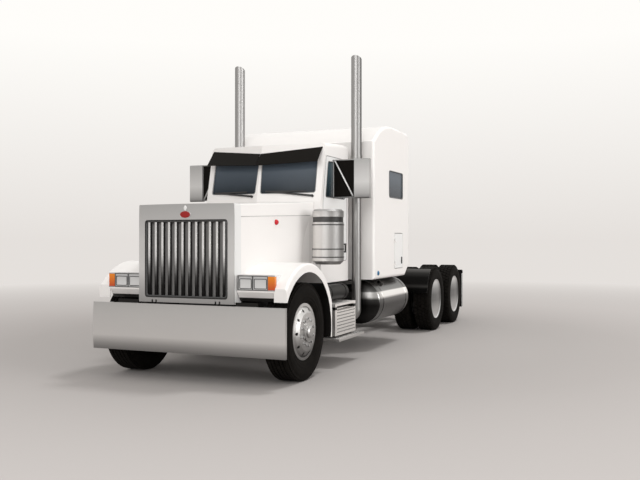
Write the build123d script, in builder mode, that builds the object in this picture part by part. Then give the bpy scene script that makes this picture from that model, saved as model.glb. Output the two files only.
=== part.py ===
"""Long-nosed highway tractor: a ladder chassis with a steered front axle and two driven
rear axles, a tilting bonnet, a day cab with a V windscreen, a sleeper box and a fifth wheel.
Millimetres. +X is forward, +Y is the driver's left, +Z is up, and the origin lies on the
ground under the middle of the vehicle. "Ahead" and "aft" are measured from the front axle."""

import os
from math import cos, radians, sin

from build123d import *

os.makedirs("parts", exist_ok=True)

# Layout
bumper_ahead = 642
drive_axle_aft = 5245
tandem_spacing = 1330
rear_overhang = 775
frame_end_aft = drive_axle_aft + tandem_spacing + rear_overhang
pin_clearance = 0.3
seat_gap = 0.3

# Tyres and wheels
tyre_radius = 527
tyre_width = 280
bead_radius = 287
rim_flange_radius = 306
rim_half_width = 112
rim_wall = 12
front_tyre_y = 990
outer_tyre_y = 1080
dual_spacing = 345
disc_offset = 150
front_hub_radius = 100
front_cap_radius = 64
disc_root_radius = 200
disc_bend_radius = 250
drive_hub_radius = 110
drum_radius = 208
drum_wall = 14
hand_holes = 10
hand_hole_radius = 16
hand_hole_circle = 238
cover_dome = 16
cover_wall = 4
cover_lip_radius = 326
cover_lip_rise = 8

# Front axle and steering
kingpin_y = 850
kingpin_radius = 21
spindle_radius = 46
spindle_end = 158
hub_depth = 70
knuckle_radius = 40
beam_width = 80
beam_height = 100
beam_drop = 87
beam_rise_y = 780
beam_flat_y = 620
beam_slant = 20
kingpin_boss_radius = 42
eye_half = 58
ear_half = 100
ear_gap = 6
steer_arm = 200
steer_arm_width = 48
steer_arm_thickness = 24
rod_radius = 18
rod_z = 462
ball_pin_radius = 12
rod_eye_radius = 28
rod_eye_height = 36
open_pivot_clearance = 1.5

# Springs and drive axles
leaf_front_reach = 520
leaf_rear_reach = 640
leaf_thickness = 56
leaf_width = 76
leaf_end_z = 630
tube_radius = 62
bowl_radius = 205
axle_tube_inset = 200
pinion_rise = 30
spring_reach = 250
airbag_radius = 95
airbag_seat = 470

# Ladder frame
rail_y = 432
rail_height = 270
rail_flange = 85
rail_wall = 9
frame_top = 960
horn_top = 815
horn_aft = -400
crossmember_height = 145
horn_crossmember_height = 90
crossmember_half = 40
crossmember_wall = 8
end_plate_inset = 30
end_plate_thickness = 12
pad_height = 15
pad_half_length = 60
pad_half_width = 38
fork_half = 15
fork_plate = 12

# Mudflaps and rear lamps
flap_inset = 100
flap_inner_y = 610
flap_outer_y = 1210
flap_low = 230
flap_high = 925
flap_half_thickness = 5
flap_bar_end_y = 1200
flap_bar_radius = 16
tail_lamp_z = 830
tail_lamp_radius = 48
tail_lamp_depth = 26
tail_lamp_ys = (-330, -220, 220, 330)

# Engine, gearbox and radiator
engine_rear_aft = 930
engine_front_aft = -230
engine_half_width = 320
engine_bottom = 625
engine_top = 1590
gearbox_rear_aft = 1760
gearbox_half_width = 210
gearbox_shaft_z = 760
radiator_front_aft = -385
radiator_depth = 105
radiator_half_width = 460
radiator_top = 1740

# Bumper
bumper_half_width = 1178
bumper_top = 828
bumper_bottom = 314
bumper_depth = 40
bumper_wall = 6
bumper_bulge = 10
upstand_inner_y = 600
upstand_outer_y = 860
valance_top = 868

# Bonnet, grille shell and front wings
shell_ahead = 613
shell_half_width = 585
shell_top = 1893
shell_bottom = 845
shell_depth = 150
shell_wall = 12
grille_half_width = 503
grille_bottom = 900
grille_top = 1720
bar_count = 12
bar_width = 42
bar_depth = 34
hood_wall = 10
hood_rear_top = 1978
hood_rear_half_width = 725
hood_gap = 12
hood_crown = 4
hood_lean = 3
hood_corner = 12
cowl_reach = 230
cowl_gap = 9
hood_skirt = 1135
wing_outer_y = 1155
wing_inner_y = 600
wing_wall = 10
arch_radius = 640
wing_crown = 1266
wing_tail = 400
wing_nose_ahead = 556
lamp_ahead = 560
lamp_bottom = 990
lamp_top = 1148
lamp_split_y = 770
lamp_turn_y = 946
lamp_outer_y = 1025
hinge_ahead = 592
hinge_z = 860
hinge_y = 390
hinge_pin = 6

# Cab
screen_base_aft = 1016
screen_base_z = 1984
screen_rake = 0.218
screen_sweep = 0.18
cab_rear_aft = 2110
cab_half_width = 805
cab_wall = 45
roof_front_z = 2690
roof_rear_z = 2765
door_front_aft = 1235
door_rear_aft = 2045
door_bottom = 1245
door_top = 2560
belt_z = 1985
door_gap = 8
glass_thickness = 8
window_margin = 62
pillar_width = 84
handle_inset = 80
handle_width = 28
handle_length = 120
handle_low = 1345
handle_reach = 30
handle_grip = 12
handle_foot = 18
mirror_aft = 1560
mirror_low = 2045
mirror_high = 2510
mirror_width = 200
mirror_outer = 1300
mirror_arm_radius = 9
mirror_strut_radius = 13
wiper_length = 600
visor_flare = 1.25
seat_front_aft = 1560
seat_rear_aft = 2010
seat_top = 1360
seat_thickness = 140
seat_back_depth = 130
seat_back_height = 650
seat_half_width = 250
driver_y = 400
dash_front_aft = 1040
dash_rear_aft = 1330
steering_wheel_aft = 1500
steering_wheel_z = 1800
steering_wheel_radius = 220
steering_rim_radius = 14
column_tilt = 32
column_length = 240

# Sleeper
sleeper_front_aft = 2328
sleeper_rear_aft = 3970
sleeper_half_width = 1100
sleeper_top = 3135
sleeper_brow = 2845
boot_half_width = 340
boot_bottom = 1240
boot_top = 2160
boot_wall = 30
hatch_front_aft = 3240
hatch_rear_aft = 3640
hatch_bottom = 1100
hatch_top = 1605
latch_inset = 46
latch_width = 34
latch_low = 1160
latch_high = 1260
pane_front_aft = 2980
pane_rear_aft = 3640
pane_bottom = 2120
pane_top = 2500
bunk_depth = 760
bunk_low = 1640
bunk_board = 40
mattress_thickness = 150

# Tanks, steps, exhaust and air intake
tank_radius = 298
tank_y = 850
tank_z = 660
tank_front_aft = 2345
tank_rear_aft = 3850
tank_dome = 70
tank_crown_radius = 60
strap_afts = (2620, 3680)
strap_half_width = 28
filler_aft = 2780
filler_radius = 44
step_outer_y = 1075
step_inner_y = 640
step_front_aft = 965
step_rear_aft = 1662
step_bottom = 365
step_top = 745
plate_outer_y = 1150
plate_low = 310
plate_depth = 32
reservoir_y = 900
reservoir_rise = 118
reservoir_radius = 100
stack_aft = 2212
stack_y = 886
stack_foot = 480
stack_bend = 95
down_pipe_y = 200
down_pipe_radius = 50
down_pipe_bend = 120
stack_top = 3980
stack_lower_radius = 62
stack_upper_radius = 71
stack_wall = 5
stack_clamp_z = 2600
filter_aft = 950
filter_y = 990
filter_radius = 187
filter_bottom = 1222
filter_top = 1872
filter_groove_low = 1718
filter_groove_high = 1784
filter_straps_z = (1308, 1403, 1690)
filter_arms_z = (1300, 1660)

# Quarter guards
guard_radius = 640
guard_sheet = 6
guard_outer_y = 1215
guard_inner_y = 640
guard_start = 12
guard_sweep = 40
guard_stay_end_y = 700

# Fifth wheel
coupling_behind_axle = 315
coupling_top = 1170
plate_thickness = 46
trunnion_z = 1085
kingpin_bore_radius = 25.6
trunnion_radius = 19.7
coupling_radius = 470
jaw_radius = 62

front_axle_x = (frame_end_aft - bumper_ahead) / 2
frame_bottom = frame_top - rail_height
cab_bottom = frame_top + pad_height


def aft(distance):
    """X of a station that many millimetres behind the front axle."""
    return front_axle_x - distance


def side_plane(y):
    """Upright lengthwise plane: sketch axes X and Z, extruding towards -Y."""
    return Plane.XZ.offset(-y)


def cross_plane(x):
    """Upright crosswise plane: sketch axes Y and Z, extruding towards +X."""
    return Plane.YZ.offset(x)


def save(part, name):
    part.label = name
    export_step(part, f"parts/{name}.step")


def box(x, y, z):
    """Box between (low, high) values on the three axes."""
    with BuildPart() as made:
        with BuildSketch(Plane.XY.offset(z[0])):
            with Locations(((x[0] + x[1]) / 2, (y[0] + y[1]) / 2)):
                Rectangle(x[1] - x[0], y[1] - y[0])
        extrude(amount=z[1] - z[0])
    return made.part


def prism(points, y_from, y_to):
    """Outline of (x, z) points drawn out between two Y values."""
    with BuildPart() as made:
        with BuildSketch(side_plane(y_to)):
            with BuildLine():
                Polyline(*points, close=True)
            make_face()
        extrude(amount=y_to - y_from)
    return made.part


def turned(points, y=0):
    """Section of (radius, y) points turned about the Y axis and moved along it."""
    with BuildPart() as made:
        with BuildSketch(Plane.XY):
            with BuildLine():
                Polyline(*points, close=True)
            make_face()
        revolve(axis=Axis.Y)
    return Pos(0, y, 0) * made.part


def rod(start, end, radius, bore=0):
    """Round bar, or tube where it has a bore, between two points."""
    run = Vector(*end) - Vector(*start)
    with BuildPart() as made:
        with BuildSketch(Plane(origin=start, z_dir=run)):
            Circle(radius)
            if bore:
                Circle(bore, mode=Mode.SUBTRACT)
        extrude(amount=run.length)
    return made.part


def both_sides(part):
    return [part, part.mirror(Plane.XZ)]


def joined(*pieces):
    """Pieces fused into one part, or kept as separate solids where they don't touch."""
    whole = pieces[0]
    for piece in pieces[1:]:
        whole = whole + piece
    return whole


drive_xs = [aft(drive_axle_aft), aft(drive_axle_aft + tandem_spacing)]
axle_z = tyre_radius
rail_front_x = front_axle_x + bumper_ahead - bumper_bulge - bumper_wall - seat_gap
rail_rear_x = aft(frame_end_aft)

# Tyres and wheels
tread_edge = tyre_width / 2 - 40
shoulder_radius = tyre_radius - 14
with BuildPart() as tyre:
    with BuildSketch(Plane.XY):
        with BuildLine() as tyre_half:
            Polyline(
                (tyre_radius, 0), (tyre_radius, tread_edge), (shoulder_radius, tyre_width / 2 - 18),
                (shoulder_radius - 90, tyre_width / 2), (bead_radius + 60, tyre_width / 2 - 4),
                (bead_radius + 22, rim_half_width - 10), (bead_radius, rim_half_width - 12),
                (bead_radius, 0),
            )
            mirror(about=Plane.XZ)
        make_face()
    revolve(axis=Axis.Y)

barrel_outer = bead_radius - seat_gap
barrel_inner = bead_radius - rim_wall - 1
flange_inner = rim_half_width - 7.5
disc_face = disc_offset
disc_back = disc_face - rim_wall
spindle_bore = spindle_radius + pin_clearance
front_wheel_section = [
    (rim_flange_radius, rim_half_width), (rim_flange_radius, flange_inner),
    (barrel_outer, flange_inner), (barrel_outer, -flange_inner), (rim_flange_radius, -flange_inner),
    (rim_flange_radius, -rim_half_width), (barrel_inner, -rim_half_width), (barrel_inner, 82),
    (disc_bend_radius - 6, 112), (disc_root_radius, disc_back), (front_hub_radius, disc_back),
    (front_hub_radius, 112), (drum_radius, 112), (drum_radius, -72), (drum_radius - drum_wall, -72),
    (drum_radius - drum_wall, 98), (front_hub_radius, 98), (front_hub_radius, -hub_depth),
    (spindle_bore, -hub_depth), (spindle_bore, 160), (0, 160), (0, 196), (front_cap_radius - 16, 196),
    (front_cap_radius, 184), (front_cap_radius, 168), (front_hub_radius, 164),
    (front_hub_radius, disc_face), (disc_root_radius + 6, disc_face), (disc_bend_radius, 126),
    (barrel_inner, 98), (barrel_inner, rim_half_width),
]
with BuildPart() as front_wheel:
    add(turned(front_wheel_section))
    with BuildSketch(side_plane(disc_face + 20)):
        with PolarLocations(hand_hole_circle, hand_holes):
            Circle(hand_hole_radius)
    extrude(amount=disc_face - 30, mode=Mode.SUBTRACT)

# Outer and inner drive rims bolt back to back on one hub flange, halfway between the tyres
half_spacing = dual_spacing / 2
outer_rim_section = [
    (rim_flange_radius, rim_half_width), (rim_flange_radius, flange_inner),
    (barrel_outer, flange_inner), (barrel_outer, -flange_inner), (rim_flange_radius, -flange_inner),
    (rim_flange_radius, -rim_half_width), (barrel_inner + 2, -rim_half_width),
    (disc_root_radius, rim_wall - half_spacing), (disc_root_radius, -half_spacing),
    (drive_hub_radius - 5, -half_spacing), (drive_hub_radius - 5, rim_wall - half_spacing),
    (186, rim_wall - half_spacing), (barrel_inner - 10, -rim_half_width + 20),
    (barrel_inner, -rim_half_width + 34), (barrel_inner, rim_half_width),
]
inner_rim_section = [(r, -y) for r, y in outer_rim_section]
drive_hub_section = [
    (spindle_radius + pin_clearance, -195), (drive_hub_radius, -195),
    (drive_hub_radius, -rim_wall - 20), (drum_radius, -rim_wall - 20), (drum_radius, -200),
    (drum_radius + 12, -200), (drum_radius + 12, -rim_wall), (drive_hub_radius - 5, -rim_wall),
    (drive_hub_radius - 5, 90), (drive_hub_radius - 18, 104), (0, 104), (0, 70),
    (spindle_radius + pin_clearance, 70),
]
cover_face = [
    # radius, height above the rim's edge
    (0, cover_dome), (60, cover_dome), (180, cover_dome * 0.6), (barrel_inner, 0),
    (rim_flange_radius, 0), (cover_lip_radius, cover_lip_rise),
]
cover_section = [(r, rim_half_width + cover_wall + rise) for r, rise in cover_face]
cover_section += [(r, rim_half_width + rise) for r, rise in reversed(cover_face)]
drive_wheels = joined(
    turned(outer_rim_section, half_spacing), turned(inner_rim_section, -half_spacing),
    turned(drive_hub_section),
    turned(cover_section, half_spacing),
)
drive_seat_y = outer_tyre_y - half_spacing

for side, way in (("left", 1), ("right", -1)):
    turn = Rot(0, 0, 0) if way > 0 else Rot(0, 0, 180)
    front_centre = Pos(front_axle_x, way * front_tyre_y, axle_z)
    save(front_centre * turn * tyre.part, f"front_tyre_{side}")
    save(front_centre * turn * front_wheel.part, f"front_wheel_{side}")
    for row, x in zip(("forward", "rear"), drive_xs):
        centre = Pos(x, way * drive_seat_y, axle_z) * turn
        pair = joined(Pos(0, half_spacing, 0) * tyre.part, Pos(0, -half_spacing, 0) * tyre.part)
        save(centre * pair, f"drive_tyres_{row}_{side}")
        save(centre * drive_wheels, f"drive_wheels_{row}_{side}")

# Bumper
face_x = front_axle_x + bumper_ahead
bulge = bumper_bulge
back = face_x - bumper_depth
with BuildPart() as bumper:
    with BuildSketch(side_plane(bumper_half_width)):
        with BuildLine():
            Line((back, bumper_bottom), (face_x - bulge, bumper_bottom))
            ThreePointArc((face_x - bulge, bumper_bottom), (face_x, (bumper_bottom + bumper_top) / 2),
                          (face_x - bulge, bumper_top))
            Line((face_x - bulge, bumper_top), (back, bumper_top))
            Line((back, bumper_top), (back, bumper_bottom))
        make_face()
    extrude(amount=2 * bumper_half_width)
    with BuildSketch(side_plane(bumper_half_width - bumper_wall)):
        inner_top = bumper_top - bumper_wall
        inner_bottom = bumper_bottom + bumper_wall
        inner_x = face_x - bumper_wall
        with BuildLine():
            Line((back - 1, inner_bottom), (inner_x - bulge, inner_bottom))
            ThreePointArc((inner_x - bulge, inner_bottom), (inner_x, (bumper_bottom + bumper_top) / 2),
                          (inner_x - bulge, inner_top))
            Line((inner_x - bulge, inner_top), (back - 1, inner_top))
            Line((back - 1, inner_top), (back - 1, inner_bottom))
        make_face()
    extrude(amount=2 * (bumper_half_width - bumper_wall), mode=Mode.SUBTRACT)
upstand = box((back, back + bumper_wall), (upstand_inner_y, upstand_outer_y),
              (bumper_top - bumper_wall, valance_top))
save(joined(bumper.part, *both_sides(upstand)), "front_bumper")

# Ladder frame
web_inner = rail_y - rail_wall
flange_edge = rail_y - rail_flange
with BuildPart() as rail:
    with BuildSketch(cross_plane(rail_rear_x)):
        with Locations(((flange_edge + rail_y) / 2, (frame_top + frame_bottom) / 2)):
            Rectangle(rail_flange, rail_height)
        with Locations(((flange_edge + web_inner) / 2, (frame_top + frame_bottom) / 2)):
            Rectangle(web_inner - flange_edge, rail_height - 2 * rail_wall, mode=Mode.SUBTRACT)
    extrude(amount=rail_front_x - rail_rear_x)
horn_cut = box((aft(horn_aft), rail_front_x + 1), (-rail_y - 1, rail_y + 1), (horn_top, frame_top + 1))
horn_plate = box((aft(horn_aft), rail_front_x), (flange_edge, rail_y), (horn_top - rail_wall, horn_top))
crossmember_afts = [-470, 2300, 3200, drive_axle_aft - 645, drive_axle_aft + tandem_spacing / 2]
crossmember_top = frame_top - rail_wall
crossmembers = []
for station in crossmember_afts:
    x = aft(station)
    top = horn_top - rail_wall if station < horn_aft else crossmember_top
    low = top - (crossmember_height if station > 0 else horn_crossmember_height)
    back_x = x - crossmember_half
    front_x = x + crossmember_half
    inner_x = back_x + crossmember_wall
    channel = [
        (back_x, low), (front_x, low), (front_x, low + crossmember_wall),
        (inner_x, low + crossmember_wall), (inner_x, top - crossmember_wall),
        (front_x, top - crossmember_wall), (front_x, top), (back_x, top),
    ]
    crossmembers.append(prism(channel, -web_inner, web_inner))
end_plate_x = rail_rear_x + end_plate_inset
end_plate = box((end_plate_x, end_plate_x + end_plate_thickness), (-web_inner, web_inner),
                (frame_bottom + rail_wall, frame_top - rail_wall))
pads = []
pad_afts = [1300, 2000, 2450, 3800]
for station in pad_afts:
    for side_y in (rail_y - rail_flange / 2, rail_flange / 2 - rail_y):
        pads.append(box((aft(station) - pad_half_length, aft(station) + pad_half_length),
                        (side_y - pad_half_width, side_y + pad_half_width), (frame_top, cab_bottom)))
forks = []
hinge_x = front_axle_x + hinge_ahead
for centre_y in (hinge_y, -hinge_y):
    for way in (1, -1):
        edge = centre_y + way * (fork_half + seat_gap)
        plate = box((hinge_x - 60, hinge_x + 5), sorted((edge, edge + way * fork_plate)),
                    (horn_top, hinge_z + 14))
        forks.append(plate)
    pin_half = fork_half + fork_plate
    forks.append(rod((hinge_x, centre_y - pin_half, hinge_z), (hinge_x, centre_y + pin_half, hinge_z),
                     hinge_pin))
rails = joined(rail.part, rail.part.mirror(Plane.XZ)) - horn_cut
rails = joined(rails, horn_plate, horn_plate.mirror(Plane.XZ))
rails = joined(rails, *crossmembers, end_plate, *pads, *forks)
save(rails, "frame_rails")

# Rear lamps stand in the recess between the rail ends
lamps = []
for y in tail_lamp_ys:
    lamps.append(rod((end_plate_x, y, tail_lamp_z), (end_plate_x - tail_lamp_depth, y, tail_lamp_z),
                     tail_lamp_radius))
save(joined(*lamps), "tail_lamps")

# Each flap hangs from a round bar that stands out from its rail
flap_x = rail_rear_x + flap_inset
flap_bar = rod((flap_x, rail_y + seat_gap, flap_high), (flap_x, flap_bar_end_y, flap_high), flap_bar_radius)
flap_sheet = box((flap_x - flap_half_thickness, flap_x + flap_half_thickness), (flap_inner_y, flap_outer_y),
                 (flap_low, flap_high))
save(joined(*both_sides(joined(flap_bar, flap_sheet))), "mudflaps")

# Front axle and steering
beam_z = axle_z - beam_drop
beam_half = beam_height / 2
half_outline = [
    (beam_flat_y, beam_z - beam_half), (beam_rise_y, axle_z - beam_half),
    (kingpin_y, axle_z - beam_half), (kingpin_y, axle_z + beam_half),
    (beam_rise_y - beam_slant, axle_z + beam_half), (beam_flat_y - beam_slant, beam_z + beam_half),
]
beam_outline = half_outline + [(-y, z) for y, z in reversed(half_outline)]
with BuildPart() as beam:
    with BuildSketch(cross_plane(front_axle_x - beam_width / 2)):
        with BuildLine():
            Polyline(*beam_outline, close=True)
        make_face()
    extrude(amount=beam_width)
    for x in (front_axle_x + 12, front_axle_x - beam_width / 2 - 1):
        with BuildSketch(cross_plane(x)):
            with Locations((0, beam_z)):
                Rectangle(1150, beam_height - 36)
        extrude(amount=beam_width / 2 - 11, mode=Mode.SUBTRACT)
    with BuildSketch(Plane.XY.offset(axle_z - eye_half)):
        with Locations((front_axle_x, kingpin_y), (front_axle_x, -kingpin_y)):
            Circle(kingpin_boss_radius)
    extrude(amount=2 * eye_half)
    with BuildSketch(Plane.XY.offset(axle_z - eye_half)):
        with Locations((front_axle_x, kingpin_y), (front_axle_x, -kingpin_y)):
            Circle(kingpin_radius + pin_clearance)
    extrude(amount=2 * eye_half, mode=Mode.SUBTRACT)
save(beam.part, "front_axle")

hub_end_y = front_tyre_y - hub_depth
ear_inner = eye_half + ear_gap
arm_z = rod_z - rod_radius
with BuildPart() as knuckle:
    with BuildSketch(Plane.XY.offset(axle_z - ear_half)):
        with Locations((front_axle_x, kingpin_y)):
            Circle(knuckle_radius)
        with Locations((front_axle_x, (kingpin_y + hub_end_y) / 2)):
            Rectangle(2 * knuckle_radius, hub_end_y - kingpin_y)
    extrude(amount=2 * ear_half)
    with BuildSketch(Plane.XY.offset(axle_z - ear_inner)):
        with Locations((front_axle_x, kingpin_y - 60)):
            Rectangle(200, 2 * (60 + 48))
    extrude(amount=2 * ear_inner, mode=Mode.SUBTRACT)
    with BuildSketch(Plane.XY.offset(axle_z - ear_half)):
        with Locations((front_axle_x, kingpin_y)):
            Circle(kingpin_radius)
    extrude(amount=2 * ear_half)
    with BuildSketch(side_plane(hub_end_y - 4)):
        with Locations((front_axle_x, axle_z)):
            Circle(spindle_radius)
    extrude(amount=hub_end_y - front_tyre_y - spindle_end)
    with BuildSketch(Plane.XY.offset(arm_z - steer_arm_thickness - 2)):
        with Locations((front_axle_x - steer_arm / 2, kingpin_y)):
            Rectangle(steer_arm, steer_arm_width)
        with Locations((front_axle_x - steer_arm, kingpin_y)):
            Circle(steer_arm_width / 2 + 2)
    extrude(amount=steer_arm_thickness)
    with BuildSketch(Plane.XY.offset(arm_z - 4)):
        with Locations((front_axle_x - steer_arm, kingpin_y)):
            Circle(ball_pin_radius)
    extrude(amount=44)
for side, piece in zip(("left", "right"), both_sides(knuckle.part)):
    save(piece, f"knuckle_{side}")

rod_x = front_axle_x - steer_arm
rod_eyes = []
for y, bore in ((kingpin_y, ball_pin_radius + pin_clearance),
                (-kingpin_y, ball_pin_radius + open_pivot_clearance)):
    rod_eyes.append(rod((rod_x, y, arm_z - 1), (rod_x, y, arm_z + rod_eye_height), rod_eye_radius, bore))
shank_end_y = kingpin_y - 22
shank = rod((rod_x, shank_end_y, rod_z), (rod_x, -shank_end_y, rod_z), rod_radius)
save(joined(shank, *rod_eyes), "tie_rod")

# Leaf springs: an arc clamped on the beam, its ends in hangers under the rails
leaf_seat = beam_z + beam_height / 2
leaf_front = front_axle_x + leaf_front_reach
leaf_rear = front_axle_x - leaf_rear_reach
leaf_side = side_plane(rail_y - 5)
hanger_low = leaf_end_z + 10
with BuildPart() as spring:
    with BuildSketch(leaf_side):
        with BuildLine():
            low = ThreePointArc((leaf_rear, leaf_end_z), (front_axle_x, leaf_seat + 1),
                                (leaf_front, leaf_end_z - 10))
            high = ThreePointArc((leaf_front, leaf_end_z + 20), (front_axle_x, leaf_seat + leaf_thickness),
                                 (leaf_rear, leaf_end_z + 30))
            Line(low @ 1, high @ 0)
            Line(high @ 1, low @ 0)
        make_face()
    extrude(amount=leaf_width)
    with BuildSketch(leaf_side):
        for x in (leaf_front - 4, leaf_rear + 4):
            with Locations((x, (frame_bottom + hanger_low) / 2)):
                Rectangle(44, frame_bottom - hanger_low)
        with Locations((front_axle_x, leaf_seat + 5)):
            Rectangle(120, 10)
    extrude(amount=leaf_width)
save(joined(*both_sides(spring.part)), "front_springs")

# Drive axles
axle_bodies = []
pinion_z = axle_z + pinion_rise
for x in drive_xs:
    with BuildPart() as axle:
        with BuildSketch(side_plane(drive_seat_y - axle_tube_inset)):
            with Locations((x, axle_z)):
                Circle(tube_radius)
        extrude(amount=2 * (drive_seat_y - axle_tube_inset))
        with BuildSketch(side_plane(drive_seat_y + 66)):
            with Locations((x, axle_z)):
                Circle(spindle_radius)
        extrude(amount=2 * (drive_seat_y + 66))
        with BuildSketch(Plane(origin=(x, 0, axle_z), x_dir=(0, 1, 0), z_dir=(1, 0, 0))):
            with BuildLine():
                Polyline((-130, 0), (-130, 70), (-70, bowl_radius - 45), (0, bowl_radius),
                         (70, bowl_radius - 45),
                         (130, 70), (130, 0), close=True)
            make_face()
        revolve(axis=Axis((x, 0, axle_z), (0, 1, 0)))
        with BuildSketch(cross_plane(x)):
            with Locations((0, pinion_z)):
                Circle(80)
        extrude(amount=270)
        with BuildSketch(cross_plane(x)):
            with Locations((0, pinion_z)):
                Circle(55)
        extrude(amount=-230)
    axle_bodies.append(axle.part)
save(joined(*axle_bodies), "drive_axles")

# Trailing beams run from hangers under the rails, below the axle, to air springs
beam_y = rail_y - rail_flange / 2
beams = []
airbags = []
for x in drive_xs:
    arm_top = axle_z - tube_radius
    outline = [
        (x + 520, 560), (x + 470, 590), (x + 90, arm_top), (x - 90, arm_top), (x - 330, 440),
        (x - 330, 400), (x - 100, arm_top - 60), (x + 100, arm_top - 60), (x + 460, 500),
        (x + 520, 520),
    ]
    beams.append(prism(outline, beam_y - 35, beam_y + 35))
    beams.append(box((x + 430, x + 530), (beam_y - 40, beam_y + 40), (545, frame_bottom)))
    beams.append(box((x - spring_reach - 95, x - spring_reach + 95), (beam_y - 60, beam_y + 60),
                     (airbag_seat - 34, airbag_seat)))
    bag_x = x - spring_reach
    airbags.append(rod((bag_x, beam_y, airbag_seat), (bag_x, beam_y, frame_bottom), airbag_radius))
save(joined(*[side for piece in beams for side in both_sides(piece)]), "trailing_beams")
save(joined(*[side for piece in airbags for side in both_sides(piece)]), "air_springs")

# Engine and driveline
engine_x = (aft(engine_rear_aft), aft(engine_front_aft))
gearbox_rear = aft(gearbox_rear_aft)
engine = joined(
    box(engine_x, (-engine_half_width, engine_half_width), (engine_bottom, engine_top)),
    box((gearbox_rear, engine_x[0]), (-gearbox_half_width, gearbox_half_width),
        (engine_bottom + 15, frame_top - 15)),
    box((aft(420), aft(300)), (-web_inner, web_inner), (frame_bottom + 60, frame_top - 60)),
)
shafts = [
    rod((gearbox_rear + 20, 0, gearbox_shaft_z), (drive_xs[0] + 240, 0, pinion_z), 52),
    rod((drive_xs[0] - 200, 0, pinion_z), (drive_xs[1] + 240, 0, pinion_z), 45),
]
driveline = joined(*shafts) - engine - axle_bodies[0] - axle_bodies[1]
save(joined(engine, driveline), "engine_block")
radiator = box((aft(radiator_front_aft + radiator_depth), aft(radiator_front_aft)),
               (-radiator_half_width, radiator_half_width), (frame_top, radiator_top))
save(radiator, "radiator")

# Cab
half_cab = cab_half_width


def screen_plane(inset, rake):
    """Front plane of the left half of the cab, moved inwards."""
    normal = Vector(1, screen_sweep, rake).normalized()
    base = Vector(aft(screen_base_aft), 0, screen_base_z) - normal * inset
    return Plane(origin=base, x_dir=(-screen_sweep, 1, 0), z_dir=normal)


def mirrored_plane(plane):
    o = plane.origin
    n = plane.z_dir
    return Plane(origin=(o.X, -o.Y, o.Z), z_dir=(n.X, -n.Y, n.Z))


def cab_volume(inset, corner=0):
    """Outside form of the cab with every face moved inwards."""
    rear = aft(cab_rear_aft) + inset
    front = aft(screen_base_aft) + 60
    roof_slope = (roof_rear_z - roof_front_z) / 900
    front_roof = roof_front_z - roof_slope * 250
    with BuildPart() as volume:
        with BuildSketch(side_plane(half_cab - inset)):
            with BuildLine():
                Line((rear, cab_bottom + inset), (front, cab_bottom + inset))
                Line((front, cab_bottom + inset), (front, front_roof - inset))
                ThreePointArc((front, front_roof - inset),
                              ((front + rear) / 2, (front_roof + roof_rear_z) / 2 + 22 - inset),
                              (rear, roof_rear_z - inset))
                Line((rear, roof_rear_z - inset), (rear, cab_bottom + inset))
            make_face()
        extrude(amount=2 * (half_cab - inset))
        for rake in (0, screen_rake):
            plane = screen_plane(inset, rake)
            split(bisect_by=plane, keep=Keep.BOTTOM)
            split(bisect_by=mirrored_plane(plane), keep=Keep.BOTTOM)
        if corner:
            fillet(volume.edges().filter_by(lambda e: e.center().Z > roof_front_z - 200 - inset
                   and abs(e.center().Y) > half_cab - inset - 2 and e.length > 300), corner)
    return volume.part


def hinge_parts(axis_x, skin_y, leaf, heights):
    """Butt hinges for a panel that reaches aft from the axis: fixed pieces and moving ones."""
    barrel = 11
    axis_y = skin_y + barrel + 1
    pin = 5
    fixed = []
    moving = []
    for z in heights:
        fixed.append(rod((axis_x, axis_y, z - 26), (axis_x, axis_y, z - 0.5), barrel))
        fixed.append(rod((axis_x, axis_y, z - 2), (axis_x, axis_y, z + 30), pin))
        fixed.append(box((axis_x, axis_x + leaf), (skin_y, skin_y + 7), (z - 26, z - 0.5)))
        moving.append(rod((axis_x, axis_y, z), (axis_x, axis_y, z + 32), barrel, pin + pin_clearance))
        tab = box((axis_x - leaf, axis_x), (skin_y, skin_y + 7), (z, z + 32))
        moving.append(tab - rod((axis_x, axis_y, z - 1), (axis_x, axis_y, z + 33), pin + pin_clearance))
    return joined(*fixed), joined(*moving)


hood_front_seam = 1757
hood_rear_seam = 1812
hood_stations = [
    # ahead of the axle, half width, seam height, crown height
    (shell_ahead - shell_depth, shell_half_width, hood_front_seam, shell_top),
    (-1140, hood_rear_half_width, hood_rear_seam, hood_rear_top),
]


def hood_section(half, low, seam, top):
    """Section in (y, z): upright sides, a lean above the seam, a tight corner and a shallow crown."""
    edge_top = top - hood_crown
    lean_y = half - hood_lean
    corner_y = lean_y - hood_corner
    corner_mid = hood_corner * (1 - sin(radians(45)))
    with BuildLine() as outline:
        Line((half, low), (half, seam))
        Line((half, seam), (lean_y, edge_top - hood_corner))
        ThreePointArc((lean_y, edge_top - hood_corner), (lean_y - corner_mid, edge_top - corner_mid),
                      (corner_y, edge_top))
        ThreePointArc((corner_y, edge_top), (0, top), (-corner_y, edge_top))
        ThreePointArc((-corner_y, edge_top), (corner_mid - lean_y, edge_top - corner_mid),
                      (-lean_y, edge_top - hood_corner))
        Line((-lean_y, edge_top - hood_corner), (-half, seam))
        Line((-half, seam), (-half, low))
        Line((-half, low), (half, low))
    return outline


def hood_volume(inset, low):
    with BuildPart() as volume:
        for ahead, half, seam, top in hood_stations:
            with BuildSketch(cross_plane(front_axle_x + ahead)):
                add(hood_section(half - inset, low, seam - inset * 0.6, top - inset))
                make_face()
        loft()
    return volume.part


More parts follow.
